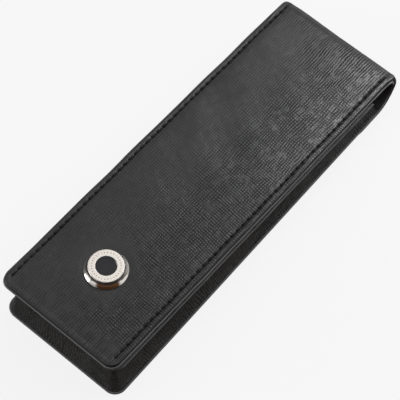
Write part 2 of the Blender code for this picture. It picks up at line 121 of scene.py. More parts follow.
LOWER_NOSE = bezier((149.0, 0.0), (154.5, 0.0), (NOSE_FAR, 5.2),
                    (NOSE_FAR, NOSE_LEVEL), 60)
UPPER_NOSE = bezier((NOSE_FAR, NOSE_LEVEL), (NOSE_FAR, 13.6),
                    (159.2, top_z(159.2)), (ROLL_Y, top_z(ROLL_Y)), 60)


def soft_noise(seed, waves, lo, hi):
    """Smooth deterministic noise of (a, b): a sum of sine waves between the
    two wavelengths, in mm. Mean 0, about -1 to 1."""
    g = np.random.default_rng(seed)
    lam = np.exp(g.uniform(math.log(lo), math.log(hi), waves))
    ang = g.uniform(0, 2 * math.pi, waves)
    ph = g.uniform(0, 2 * math.pi, waves)
    ka, kb = 2 * math.pi / lam * np.cos(ang), 2 * math.pi / lam * np.sin(ang)

    def f(a, b):
        a, b = np.asarray(a, float), np.asarray(b, float)
        out = np.zeros(np.broadcast(a, b).shape)
        for x, y, p in zip(ka, kb, ph):
            out += np.sin(x * a + y * b + p)
        return out / math.sqrt(waves)
    return f


def smooth(t):
    t = np.clip(t, 0, 1)
    return t * t * (3 - 2 * t)


# ================================================================ materials
class Mat:
    """A small writer for procedural materials."""

    def __init__(self, name):
        self.mat = bpy.data.materials.new(name)
        self.mat.use_nodes = True
        self.t = self.mat.node_tree
        self.bsdf = self.t.nodes["Principled BSDF"]

    def node(self, kind, **inputs):
        n = self.t.nodes.new(kind)
        for k, v in inputs.items():
            if k.startswith("_"):
                setattr(n, k[1:], v)
        for k, v in inputs.items():
            if not k.startswith("_"):
                self.put(n.inputs[k.replace("__", " ")], v)
        return n

    def put(self, socket, v):
        if isinstance(v, bpy.types.NodeSocket):
            self.t.links.new(v, socket)
        elif isinstance(v, (tuple, list)) and socket.type == "RGBA" and len(v) == 3:
            socket.default_value = (*v, 1.0)
        else:
            socket.default_value = v

    def set(self, name, v):
        self.put(self.bsdf.inputs[name], v)

    def math(self, op, a, b=0.0, c=0.0, clamp=False):
        n = self.t.nodes.new("ShaderNodeMath")
        n.operation = op
        n.use_clamp = clamp
        for s, v in zip(n.inputs, (a, b, c)):
            self.put(s, v)
        return n.outputs[0]

    def uv(self, name="mm"):
        return self.node("ShaderNodeUVMap", _uv_map=name).outputs["UV"]

    def obj(self):
        return self.node("ShaderNodeTexCoord").outputs["Object"]

    def mapping(self, vec, scale=(1, 1, 1), loc=(0, 0, 0), rot=(0, 0, 0)):
        return self.node("ShaderNodeMapping", Vector=vec, Scale=scale,
                         Location=loc, Rotation=rot).outputs["Vector"]

    def noise(self, vec, scale, detail=2.0, rough=0.5, out="Fac"):
        return self.node("ShaderNodeTexNoise", Vector=vec, Scale=scale,
                         Detail=detail, Roughness=rough).outputs[out]

    def ramp(self, fac, stops, interp="LINEAR"):
        n = self.t.nodes.new("ShaderNodeValToRGB")
        n.color_ramp.interpolation = interp
        el = n.color_ramp.elements
        while len(el) > 1:
            el.remove(el[-1])
        for i, (pos, col) in enumerate(stops):
            e = el[0] if i == 0 else el.new(pos)
            e.position = pos
            e.color = (*col, 1.0) if len(col) == 3 else col
        self.put(n.inputs["Fac"], fac)
        return n.outputs["Color"]

    def between(self, fac, lo, hi):
        """lo where fac is 0, hi where it is 1."""
        return self.node("ShaderNodeMapRange", Value=fac, To__Min=lo,
                         To__Max=hi).outputs["Result"]

    def mix(self, fac, a, b):
        n = self.t.nodes.new("ShaderNodeMix")
        n.data_type = "RGBA"
        self.put(n.inputs[0], fac)
        self.put(n.inputs[6], a)
        self.put(n.inputs[7], b)
        return n.outputs[2]

    def bump(self, height, dist, strength=1.0, normal=None):
        n = self.node("ShaderNodeBump", Height=height, Distance=dist,
                      Strength=strength)
        if normal is not None:
            self.t.links.new(normal, n.inputs["Normal"])
        return n.outputs["Normal"]


def grain_leather(name, base, rough, depth, spec=0.5, pitch_u=0.97, pitch_v=1.0,
                  shift=0.0, placed=False, weave=1.0, pore=0.26, loose=1.0):
    """Cross-grain embossed leather. The UV map holds millimetres, u across
    the width and v along the strip, so the grain bends with the leather.
    placed puts the rippled and calm areas where the flap has them."""
    m = Mat(name)
    uv = m.mapping(m.uv(), loc=(shift, shift * 1.7, 0))
    sep = m.node("ShaderNodeSeparateXYZ", Vector=uv)
    u, v = sep.outputs["X"], sep.outputs["Y"]

    def vec(a, ka, b, kb, z):
        return m.node("ShaderNodeCombineXYZ", X=m.math("MULTIPLY", a, ka),
                      Y=m.math("MULTIPLY", b, kb), Z=z).outputs[0]

    def step(x, lo, hi, out0=0.0, out1=1.0):
        return m.node("ShaderNodeMapRange", Value=x, From__Min=lo, From__Max=hi,
                      To__Min=out0, To__Max=out1, _clamp=True,
                      _interpolation_type="SMOOTHSTEP").outputs["Result"]

    def ridges(pos, other, pitch, seed, tilt):
        # slow sideways wander of each line, then a quicker and smaller one
        wander = m.math("ADD",
                        m.math("MULTIPLY", m.noise(vec(pos, 0.06, other, 0.05, seed), 1.0, 1.0), 2.3 * loose),
                        m.math("ADD",
                               m.math("MULTIPLY", m.noise(vec(pos, 0.26, other, 0.22, seed + 3.1), 1.0, 1.0), 0.80 * loose),
                               m.math("MULTIPLY", m.noise(vec(pos, 0.9, other, 0.75, seed + 5.3), 1.0, 1.0), 0.38 * loose)))
        p = m.math("ADD", m.math("MULTIPLY_ADD", other, tilt, pos), wander)
        wave = m.math("SINE", m.math("MULTIPLY", p, 2 * math.pi / pitch))
        wave = m.math("MULTIPLY_ADD", wave, 0.5, 0.5)
        # the lines fade in and out every few millimetres
        broken = step(m.noise(vec(pos, 0.55, other, 0.25, seed + 7.7), 1.0, 2.0, 0.6), 0.34, 0.56, 0.25, 1.0)
        return m.math("MULTIPLY", m.math("SUBTRACT", 1.0, wave), broken)

    du = m.math("MULTIPLY_ADD", m.noise(vec(u, 0.07, v, 0.05, 2.2), 1.0, 1.0), 14.0, -7.0)
    if placed:
        un, vn = m.math("ADD", u, du), m.math("ADD", v, du)
        near = step(m.math("MULTIPLY_ADD", du, 0.15, v), 6.5, 10.5, 1.0, 0.0)
        far = step(vn, 134.0, 152.0)
        right = step(un, -9.0, 9.0)
        rad = m.math("SQRT", m.math("ADD", m.math("POWER", m.math("ADD", u, 1.0), 2.0),
                                    m.math("POWER", m.math("ADD", v, -27.5), 2.0)))
        calm = m.math("MULTIPLY", step(rad, 8.5, 17.0, 0.35, 1.0), step(un, -14.0, 8.0, 0.55, 1.0))
        calm = m.math("MAXIMUM", calm, m.math("MULTIPLY", near, 0.75))
        keep_l = m.math("MAXIMUM", m.math("MAXIMUM", m.math("MULTIPLY", near, 0.65), m.math("MULTIPLY", far, 0.9)),
                        m.math("MULTIPLY_ADD", m.math("MULTIPLY", right, step(vn, 50.0, 125.0)), 0.32, 0.55))
        # rubbed glossier towards the far right, duller on the far left
        polish = m.math("MULTIPLY", step(m.math("MULTIPLY_ADD", du, 0.4, u), -6.0, 20.0, -0.12, 0.95),
                        step(vn, 70.0, 128.0))
        keep_c = m.math("MULTIPLY", m.math("MULTIPLY_ADD", near, -0.95, 1.0),
                        m.math("MULTIPLY", m.math("MULTIPLY_ADD", far, -0.62, 1.0),
                               m.math("MULTIPLY_ADD", right, 0.30, 0.48)))
    else:
        polish = 0.0
        rule = step(m.noise(vec(u, 0.045, v, 0.030, 1.3), 1.0, 1.0), 0.40, 0.60)
        calm = step(m.noise(vec(u, 0.055, v, 0.028, 9.0), 1.0, 2.0), 0.38, 0.62, 0.55, 1.0)
        keep_l = m.between(rule, 0.45, 0.9)
        keep_c = m.between(rule, 0.9, 0.45)
    keep_l = m.math("MULTIPLY", keep_l, m.math("MULTIPLY", calm, weave))
    keep_c = m.math("MULTIPLY", keep_c, m.math("MULTIPLY", calm, weave))
    cut_l = m.math("MULTIPLY", ridges(u, v, pitch_u, 0.0, 0.015), keep_l)
    cut_c = m.math("MULTIPLY", ridges(v, u, pitch_v, 4.0, 0.07), keep_c)
    lines = m.math("MULTIPLY", m.math("SUBTRACT", 1.0, cut_l), m.math("SUBTRACT", 1.0, cut_c))
    pores = m.noise(uv, 2.4, 3.0, 0.65)
    height = m.math("MULTIPLY_ADD", pores, pore, lines)
    m.set("Normal", m.bump(height, depth * MM))
    # painted shade and painted highlight: the grooves are painted darker and the ridges lighter in the base colour;
    # grooves are also duller and ridges glossier
    groove_shade_ridge_highlight = m.math("MULTIPLY", m.math("MULTIPLY_ADD", cut_l, -1.15, 1.0), m.math("MULTIPLY_ADD", cut_c, -0.85, 1.0))
    speck = 0.30 + 0.8 * (pore - 0.26)
    tone = m.math("MULTIPLY_ADD", groove_shade_ridge_highlight, 0.78, m.math("MULTIPLY_ADD", pores, speck, -0.5 * (speck - 0.30)), clamp=True)
    if placed:
        # painted shade: the stitch groove on the two long sides is painted darker in the base colour, and duller
        off = m.math("ABSOLUTE", m.math("SUBTRACT", m.math("ABSOLUTE", u), FLAP_HW + 0.15 - STITCH_IN))
        seam = m.math("MULTIPLY", step(off, 0.45, 0.75, 0.55, 0.0), step(v, 5.0, 8.0))
        tone = m.math("MULTIPLY", tone, m.math("SUBTRACT", 1.0, seam))
    dark = tuple(c * 0.15 for c in base)
    light = tuple(c * 1.45 for c in base)
    cloudy = m.noise(m.mapping(uv, scale=(0.05, 0.05, 1)), 1.0, 3.0, 0.55)
    m.set("Base Color", m.mix(m.math("MULTIPLY_ADD", cloudy, 0.25, m.math("MULTIPLY", tone, 0.85), clamp=True),
                              dark, light))
    m.set("Roughness", m.math("MULTIPLY_ADD", tone, -0.14,
                              m.math("MULTIPLY_ADD", cloudy, 0.05, rough + 0.06)))
    m.set("Specular IOR Level", m.math("MULTIPLY", m.between(tone, spec * 0.12, spec * 1.28),
                                       m.math("ADD", polish, 1.0), clamp=True))
    return m.mat


def edge_paint(name, base, rough, coat, waver=0.035):
    """Hand-painted cut edge: slightly uneven glossy beads."""
    m = Mat(name)
    uv = m.uv()
    drift = m.noise(m.mapping(uv, scale=(0.9, 0.22, 1)), 1.0, 3.0, 0.6)
    grit = m.noise(uv, 3.4, 3.0, 0.6)
    m.set("Normal", m.bump(m.math("MULTIPLY_ADD", drift, 0.7, m.math("MULTIPLY", grit, 0.3)),
                           waver * MM))
    m.set("Base Color", m.mix(grit, tuple(c * 0.75 for c in base), tuple(c * 1.25 for c in base)))
    m.set("Roughness", m.math("MULTIPLY_ADD", drift, 0.18, rough - 0.08))
    m.set("Coat Weight", coat)
    m.set("Coat Roughness", 0.12)
    return m.mat


def smooth_leather(name, base, rough, depth=0.035):
    """Fine smooth leather or skiver for linings: pores and faint creases."""
    m = Mat(name)
    uv = m.uv()
    cells = m.node("ShaderNodeTexVoronoi", Vector=uv, Scale=1.5,
                   _feature="DISTANCE_TO_EDGE").outputs["Distance"]
    pores = m.noise(uv, 4.0, 3.0, 0.7)
    creases = m.noise(m.mapping(uv, scale=(0.20, 0.07, 1)), 1.0, 4.0, 0.6)
    h = m.math("ADD", m.math("MINIMUM", m.math("MULTIPLY", cells, 3.0), 1.0),
               m.math("ADD", m.math("MULTIPLY", pores, 0.6), m.math("MULTIPLY", creases, 1.1)))
    m.set("Normal", m.bump(h, depth * MM))
    m.set("Base Color", m.mix(m.math("MULTIPLY_ADD", creases, 0.6, m.math("MULTIPLY", pores, 0.4), clamp=True),
                              tuple(c * 0.7 for c in base), tuple(c * 1.35 for c in base)))
    m.set("Roughness", m.between(pores, rough - 0.07, rough + 0.08))
    m.set("Specular IOR Level", 0.35)
    return m.mat


def thread_look(name, base):
    """Waxed polyester thread; u runs round it and v along it in mm."""
    m = Mat(name)
    uv = m.uv()
    sep = m.node("ShaderNodeSeparateXYZ", Vector=uv)
    ply = m.math("SINE", m.math("ADD", m.math("MULTIPLY", sep.outputs["X"], 2 * 2 * math.pi),
                                m.math("MULTIPLY", sep.outputs["Y"], 5.5)))
    fuzz = m.noise(m.mapping(uv, scale=(6.0, 5.0, 1)), 1.0, 3.0, 0.7)
    h = m.math("ADD", m.math("MULTIPLY", ply, 0.5), fuzz)
    m.set("Normal", m.bump(h, 0.05 * MM))
    m.set("Base Color", m.mix(m.math("MULTIPLY_ADD", ply, 0.25, m.math("MULTIPLY", fuzz, 0.7), clamp=True),
                              tuple(c * 0.5 for c in base), tuple(c * 1.6 for c in base)))
    m.set("Roughness", m.between(fuzz, 0.6, 0.85))
    m.set("Specular IOR Level", 0.2)
    return m.mat


def metal_look(name, base, rough, brush=0.0, wear=0.04, metallic=1.0):
    """Plated metal with faint polishing marks and fine scratches."""
    m = Mat(name)
    co = m.obj()
    haze = m.noise(co, 900.0, 3.0, 0.6)
    fine = m.noise(m.mapping(co, scale=(1, 1, 6)), 5200.0, 2.0, 0.6)
    m.set("Metallic", metallic)
    m.set("Base Color", m.mix(haze, tuple(c * 0.93 for c in base), tuple(min(1.0, c * 1.04) for c in base)))
    m.set("Roughness", m.math("MULTIPLY_ADD", fine, wear, m.math("MULTIPLY_ADD", haze, wear, rough)))
    if brush:
        m.set("Normal", m.bump(fine, brush * MM))
    return m.mat


# ============================================================= mesh writing
class Builder:
    """Collects faces with a UV in mm; vertices at the same place are one."""

    def __init__(self):
        self.key, self.co, self.faces, self.uvs, self.mats = {}, [], [], [], []

    def v(self, p):
        k = (round(p[0] * 2e4), round(p[1] * 2e4), round(p[2] * 2e4))
        i = self.key.get(k)
        if i is None:
            i = self.key[k] = len(self.co)
            self.co.append((p[0], p[1], p[2]))
        return i

    def face(self, ids, uvs, mat=0):
        keep, kuv = [], []
        for i, t in zip(ids, uvs):
            if i not in keep:
                keep.append(i)
                kuv.append(t)
        if len(keep) > 2:
            self.faces.append(keep)
            self.uvs.append(kuv)
            self.mats.append(mat)

    def grid(self, P, UV, mat=0, flip=False):
        """P and UV are [rows][cols] arrays; mat a number or per-column list."""
        ids = [[self.v(p) for p in row] for row in P]
        for i in range(len(ids) - 1):
            for j in range(len(ids[0]) - 1):
                q = [(i, j), (i, j + 1), (i + 1, j + 1), (i + 1, j)]
                if flip:
                    q.reverse()
                mm = mat[j] if isinstance(mat, (list, tuple)) else mat
                self.face([ids[a][b] for a, b in q], [UV[a][b] for a, b in q], mm)

    def done(self, name, materials, sharp=40.0):
        me = bpy.data.meshes.new(name)
        co = np.array(self.co, float)
        co[:, 1] -= Y_MID
        co *= MM
        me.from_pydata(co.tolist(), [], self.faces)
        lay = me.uv_layers.new(name="mm")
        flat = np.array([c for f in self.uvs for t in f for c in t], np.float32)
        lay.data.foreach_set("uv", flat)
        me.polygons.foreach_set("material_index", np.array(self.mats, np.int32))
        for mt in materials:
            me.materials.append(mt)
        me.validate()
        me.shade_smooth()
        me.set_sharp_from_angle(angle=math.radians(sharp))
        me.update()
        ob = bpy.data.objects.new(name, me)
        bpy.context.scene.collection.objects.link(ob)
        return ob


class Path:
    """A strip's outer surface seen from the side, by arc length."""

    def __init__(self, pts, outward):
        p = np.array(pts, float)
        d = np.linalg.norm(np.diff(p, axis=0), axis=1)
        keep = np.r_[True, d > 1e-9]
        p = p[keep]
        self.p = p
        self.s = np.r_[0, np.cumsum(np.linalg.norm(np.diff(p, axis=0), axis=1))]
        t = np.gradient(p, self.s, axis=0, edge_order=1)
        t /= np.linalg.norm(t, axis=1)[:, None]
        n = np.stack([-t[:, 1], t[:, 0]], 1)
        if n[0] @ np.array(outward) < 0:
            n = -n
        self.n = n
        self.length = self.s[-1]

    def at(self, s, w):
        """(y, z) at arc length s (also past the ends), w above the surface."""
        s, w = np.broadcast_arrays(np.asarray(s, float), np.asarray(w, float))
        y = np.interp(s, self.s, self.p[:, 0])
        z = np.interp(s, self.s, self.p[:, 1])
        ny = np.interp(s, self.s, self.n[:, 0])
        nz = np.interp(s, self.s, self.n[:, 1])
        ln = np.hypot(ny, nz)
        ny, nz = ny / ln, nz / ln
        before, after = np.minimum(s, 0), np.maximum(s - self.length, 0)
        t0 = (self.p[1] - self.p[0]) / np.linalg.norm(self.p[1] - self.p[0])
        t1 = (self.p[-1] - self.p[-2]) / np.linalg.norm(self.p[-1] - self.p[-2])
        y = y + before * t0[0] + after * t1[0]
        z = z + before * t0[1] + after * t1[1]
        return y + ny * w, z + nz * w

    def s_at_y(self, y):
        """Arc length where the straight part passes y."""
        return float(np.interp(y, self.p[:, 0], self.s)) if self.p[0, 0] < self.p[-1, 0] else None


def straight_then(a, b, n, tail):
    t = np.linspace(0, 1, n)[:, None]
    line = np.array(a)[None] * (1 - t) + np.array(b)[None] * t
    return np.vstack([line, tail]) if tail is not None else line


_c, _s = math.cos(TILT), math.sin(TILT)
flap_near = (FLAP_T * _s, LIP_NEAR + FLAP_T * _c)       # top of the near edge
flap_path = Path(straight_then(flap_near, (ROLL_Y, top_z(ROLL_Y)), 60,
                               UPPER_NOSE[::-1][1:]), (0, 1))
back_path = Path(straight_then((BODY_NEAR, 0.0), (149.0, 0.0), 60, LOWER_NOSE[1:]), (0, -1))
_fw = -FLAP_GAP
front_near = (FRONT_NEAR * _c + _fw * _s, LIP_NEAR - FRONT_NEAR * _s + _fw * _c)
front_len = MOUTH_Y / _c - FRONT_NEAR
front_path = Path(straight_then(front_near,
                                (front_near[0] + front_len * _c, front_near[1] - front_len * _s),
                                60, None), (0, 1))


class Panel:
    """A flat or bent strip of leather with rounded near corners.

    x across, s along from the near edge, w above the path's surface."""

    def __init__(self, path, half_w, radius, s1=None, s0=0.0, shift=None):
        self.path, self.R, self.s0 = path, radius, s0
        self.shift = shift                               # sideways offset of (x, y)
        self.s1 = path.length if s1 is None else s1
        self._hw = half_w

    def hw(self, s):
        h = self._hw(np.asarray(s, float)) if callable(self._hw) else self._hw
        return h + 0.0 * np.asarray(s, float)

    def place(self, x, s, w):
        y, z = self.path.at(s, w)
        x = np.broadcast_to(np.asarray(x, float), y.shape)
        if self.shift is not None:
            x = x + self.shift(x, y)
        return np.stack([x, y, z], -1)

    # The seam coordinate c runs round the U of the edge: 0 in the middle of
    # the near edge, negative to the left side, positive to the right.
    def near_half(self):
        return float(self.hw(self.s0)) - self.R

    def edge(self, x, s):
        """(inset from the edge, seam coordinate at STITCH_IN) of a point."""
        x, s = np.asarray(x, float), np.asarray(s, float)
        sign = np.where(x < 0, -1.0, 1.0)
        ax = np.abs(x)
        hw = self.hw(s)
        n = self.near_half()
        r = self.R - STITCH_IN
        q = r * math.pi / 2
        ds = self.s0 + self.R - s                       # > 0 in the near band
        dx = ax - n
        ang = np.arctan2(np.maximum(dx, 1e-9), np.maximum(ds, 1e-9))
        corner = (ds > 0) & (dx > 0)
        side = (ds <= 0)
        d = np.where(corner, self.R - np.hypot(dx, ds),
                     np.where(side, np.minimum(hw - ax, 99.0), s - self.s0))
        c = np.where(corner, n + r * ang, np.where(side, n + q - ds, ax))
        # deep inside, the nearest edge may be the side or the near one
        inner = side & (s - self.s0 < hw - ax)
        d = np.where(inner, s - self.s0, d)
        c = np.where(inner, ax, c)
        return d, c * sign

    def seam(self, c, inset=None):
        """(x, s) on the seam line at coordinate c."""
        inset = STITCH_IN if inset is None else inset
        c = np.asarray(c, float)
        sign = np.where(c < 0, -1.0, 1.0)
        a = np.abs(c)
        n = self.near_half()
        r = self.R - STITCH_IN
        q = r * math.pi / 2
        rr = self.R - inset
        ang = np.clip((a - n) / r, 0, math.pi / 2)
        x = np.where(a < n, a, n + rr * np.sin(ang))
        s = np.where(a < n, self.s0 + inset, self.s0 + self.R - rr * np.cos(ang))
        past = np.maximum(a - n - q, 0)
        s = s + past
        x = np.where(a > n + q, self.hw(s) - inset, x)
        return x * sign, s

    def seam_end(self, s):
        return self.near_half() + (self.R - STITCH_IN) * math.pi / 2 + (s - self.s0 - self.R)


def rows(s0, s1, step, extra=()):
    n = max(2, int(round((s1 - s0) / step)) + 1)
    out = list(np.linspace(s0, s1, n)) + list(extra)
    return np.array(sorted(set(round(x, 5) for x in out)))


def slab(name, panel, profile, materials, step_s, step_x, relief=None, under=None,
         end_round=0.0, edge_mats=(0, 1, 2), sharp=50.0, corner_steps=9, left_mat=None):
    """Closed leather slab. profile is [(inset, w, part)] from the face's inner
    border over the edge to the back's inner border; part 0 is the face, 1 the
    edge and 2 the back. relief(x, s, inset, c) moves the face, under the back."""
    R = panel.R
    assert abs(profile[0][0] - R) < 1e-9 and abs(profile[-1][0] - R) < 1e-9
    ss = rows(panel.s0 + R, panel.s1, step_s)
    if end_round:
        k = np.linspace(0, math.pi / 2, 6)
        ss = np.array(sorted(set([round(x, 5) for x in ss if x < panel.s1 - end_round]
                                 + [round(panel.s1 - end_round + end_round * math.sin(a), 5) for a in k])))
    n = panel.near_half()
    nx = max(2, int(round(2 * n / step_x)) + 1)
    frac = np.linspace(-1, 1, nx)
    ang = np.linspace(0, math.pi / 2, corner_steps + 1)

    def stations(inset):
        """x, s of the U-shaped run of stations at one inset."""
        hw = panel.hw(ss)
        left = [(-(h - inset), s) for h, s in zip(hw[::-1], ss[::-1])]
        rr = R - inset
        cl = [(-(n + rr * math.cos(a)), panel.s0 + R - rr * math.sin(a)) for a in ang[1:]]
        near = [(f * n, panel.s0 + inset) for f in frac[1:]]
        cr = [(n + rr * math.sin(a), panel.s0 + R - rr * math.cos(a)) for a in ang[1:]]
        right = [((h - inset), s) for h, s in zip(hw[1:], ss[1:])]
        return np.array(left + cl + near + cr + right)

    # arc length over the edge, for UVs
    roll = [0.0]
    for (i0, w0, _), (i1, w1, _) in zip(profile, profile[1:]):
        roll.append(roll[-1] + math.hypot(i1 - i0, w1 - w0))
    w_mid = (profile[0][1] + profile[-1][1]) / 2.0

    def finish_w(s, w, inset):
        if not end_round:
            return w, inset
        t = np.clip((s - (panel.s1 - end_round)) / end_round, 0, 1)
        f = np.sqrt(np.maximum(1 - t * t, 0.02))
        return w_mid + (w - w_mid) * f, inset

    b = Builder()
    ring, ring_uv, parts = [], [], []
    for (inset, w, part), r in zip(profile, roll):
        xs = stations(inset)
        flat_in = R - r                                   # unrolled inset
        uv = stations(flat_in)
        d, c = panel.edge(xs[:, 0], xs[:, 1])
        ww = np.full(len(xs), float(w))
        if part == 0 and relief is not None:
            ww = ww + relief(xs[:, 0], xs[:, 1], np.full(len(xs), inset), c)
        if part == 2 and under is not None:
            ww = ww + under(xs[:, 0], xs[:, 1], np.full(len(xs), inset), c)
        ww, _ = finish_w(xs[:, 1], ww, inset)
        ring.append(panel.place(xs[:, 0], xs[:, 1], ww))
        ring_uv.append(uv)
        parts.append(part)
    for k in range(len(profile) - 1):
        mat = edge_mats[max(parts[k], parts[k + 1]) if parts[k + 1] != 2 or parts[k] == 2 else 1]
        if left_mat is not None and mat == edge_mats[1]:
            xs = ring[k][:, 0]
            cols = [left_mat if x < -panel.near_half() + 1.0 and profile[k][1] > -1.2 else mat for x in xs]
            b.grid([ring[k], ring[k + 1]], [ring_uv[k], ring_uv[k + 1]], cols, flip=False)
        else:
            b.grid([ring[k], ring[k + 1]], [ring_uv[k], ring_uv[k + 1]], mat, flip=False)
    # the two faces
    inner_x = frac * 1.0
    for side in (0, -1):
        w = profile[side][1]
        fn = relief if side == 0 else under
        P, UV = [], []
        for s in ss:
            x = inner_x * (panel.hw(s) - R)
            d, c = panel.edge(x, np.full(nx, s))
            ww = np.full(nx, float(w))
            if fn is not None:
                dd = np.minimum(np.minimum(panel.hw(s) - np.abs(x), s - panel.s0), 60.0)
                dd = np.maximum(dd, R)
                ww = ww + fn(x, np.full(nx, s), dd, c)
            ww, _ = finish_w(np.full(nx, s), ww, 0)
            P.append(panel.place(x, np.full(nx, s), ww))
            UV.append(np.stack([x, np.full(nx, s)], 1))
        b.grid(P, UV, edge_mats[0] if side == 0 else edge_mats[2], flip=(side == 0))
    # far end: close between face and back
    cols = [r[0] for r in ring] + [r[-1] for r in ring]
    s = panel.s1
    topP = [b.v(p) for p in [r[0] for r in ring][::-1]]
    # polygon: left ring going back..face, face row, right ring, back row
    x = inner_x * (panel.hw(s) - R)
    left = [ring[k][0] for k in range(len(ring))]
    right = [ring[k][-1] for k in range(len(ring))]

    def face_row(side):
        w = profile[side][1]
        fn = relief if side == 0 else under
        d, c = panel.edge(x, np.full(nx, s))
        ww = np.full(nx, float(w))
        if fn is not None:
            dd = np.maximum(np.minimum(panel.hw(s) - np.abs(x), 60.0), R)
            ww = ww + fn(x, np.full(nx, s), dd, c)
        ww, _ = finish_w(np.full(nx, s), ww, 0)
        return panel.place(x, np.full(nx, s), ww)
    top_row, bot_row = face_row(0), face_row(-1)
    uvr = np.stack([x, np.full(nx, s)], 1)
    b.grid([top_row, bot_row], [uvr, uvr + np.array([0, 2.0])], edge_mats[1], flip=False)
    # the two borders of the end are fans between the ring's halves
    for pts, flip in ((left, True), (right, False)):
        half = len(pts) // 2
        ids = [b.v(p) for p in pts]
        i, j = 0, len(ids) - 1
        while j - i > 1:
            q = [ids[i], ids[i + 1], ids[j - 1], ids[j]] if j - i > 2 else [ids[i], ids[i + 1], ids[j]]
            t = [(pts[0][0], s)] * len(q)
            if flip:
                q.reverse()
            b.face(q, t, edge_mats[1])
            i, j = i + 1, j - 1
    ob = b.done(name, materials, sharp)
    fix_normals(ob)
    return ob


def fix_normals(ob):
    import bmesh
    bm = bmesh.new()
    bm.from_mesh(ob.data)
    bmesh.ops.recalc_face_normals(bm, faces=bm.faces)
    bm.to_mesh(ob.data)
    bm.free()
    ob.data.update()


def stitches(name, panel, c0, c1, material, r=0.27, sink=0.25, proud=0.0, inset=None,
             w_face=0.0, near=1.0):
    """Lock stitches along the seam from hole to hole, each its own short arc
    of thread that dives into its holes, all in one mesh."""
    n = int(math.floor((c1 - c0) / PITCH))
    b = Builder()
    sides, rings = 8, 9
    g = np.random.default_rng(len(name) * 13 + 5)
    for i in range(n):
        a0 = c0 + i * PITCH
        t = np.linspace(0, 1, rings)
        cc = a0 + 0.30 + t * (PITCH - 0.60)
        lift = 1 - (2 * t - 1) ** 4
        w = w_face - sink - 0.28 + lift * (0.28 + sink * 0.75 + proud)
        w = w - (1 - near) * 0.45 * (1 - side_run(panel, cc))
        wob = 0.05 * g.normal()
        x, s = panel.seam(cc, STITCH_IN if inset is None else inset)
        x = x + wob * np.sin(math.pi * t)
        P = panel.place(x, s, w)
        tan = np.gradient(P, axis=0)
        tan /= np.linalg.norm(tan, axis=1)[:, None]
        up0 = panel.place(x, s, w + 1.0) - P
        side = np.cross(tan, up0)
        side /= np.linalg.norm(side, axis=1)[:, None]
        up = np.cross(side, tan)
        fat = r * (0.62 + 0.38 * np.sqrt(np.clip(1 - (2 * t - 1) ** 2, 0, 1))) * (1 + 0.06 * g.normal())
        loops, uvs = [], []
        for k in range(rings):
            th = np.linspace(0, 2 * math.pi, sides + 1)
            ply = 1 + 0.10 * np.cos(2 * th - 5.0 * t[k])
            ring = P[k] + (np.cos(th) * fat[k] * ply)[:, None] * side[k] + (np.sin(th) * fat[k] * 0.8 * ply)[:, None] * up[k]
            ring[-1] = ring[0]
            loops.append(ring)
            uvs.append(np.stack([th / (2 * math.pi), np.full(sides + 1, cc[k])], 1))
        b.grid(loops, uvs, 0)
        for k, flip in ((0, False), (rings - 1, True)):
            ids = [b.v(p) for p in loops[k][:-1]]
            if flip:
                ids.reverse()
            b.face(ids, [(0, cc[k])] * len(ids), 0)
    ob = b.done(name, [material], 60)
    fix_normals(ob)
    return ob


def side_run(panel, c):
    """1 on the two long runs of a seam, 0 along the near edge."""
    return smooth((np.abs(c) - panel.near_half() - 0.8) / 1.8)


def holes_relief(panel, c0, c1, groove=0.22, hole=0.55, near=1.0):
    """Sunken seam line with a needle hole between the stitches. near is how
    much of it shows along the near edge."""
    def f(d, c):
        part = near + (1 - near) * side_run(panel, c)
        line = np.exp(-((d - STITCH_IN) / 0.42) ** 2)
        inside = smooth((c - c0 + 1.2) / 1.2) * smooth((c1 + 1.2 - c) / 1.2)
        k = np.round((c - c0) / PITCH)
        dc = (c - c0) - k * PITCH
        pit = np.exp(-((d - STITCH_IN) / 0.40) ** 2 - (dc / 0.46) ** 2)
        return -(groove * line * (0.75 + 0.25 * part * np.cos(2 * math.pi * dc / PITCH)) * (0.3 + 0.7 * part)
                 + hole * pit * part ** 2) * inside
    return f


# ================================================================== looks
M_FLAP = grain_leather("leather_flap", (0.0150, 0.0150, 0.0156), 0.36, 0.078, spec=0.56, placed=True)
M_BACK = grain_leather("leather_back", (0.0150, 0.0150, 0.0156), 0.36, 0.078, spec=0.56, shift=61.0)
M_FRONT = grain_leather("leather_front", (0.0150, 0.0150, 0.0156), 0.36, 0.078, spec=0.56, shift=23.0)
M_GUSSET = grain_leather("leather_gusset", (0.0180, 0.0172, 0.0168), 0.34, 0.36, spec=0.50, shift=11.0,
                         pitch_u=1.05, pitch_v=1.15, pore=1.5, loose=1.9)
# partly the real black edge paint, partly painted shade: the upper band of the edges is a darker, matte copy that
# deepens the shade under the flap's top edge
M_EDGE_BLACK_PAINTED_SHADE = edge_paint("edge_paint_upper_painted_shade", (0.006, 0.006, 0.0065), 0.52, 0.0)
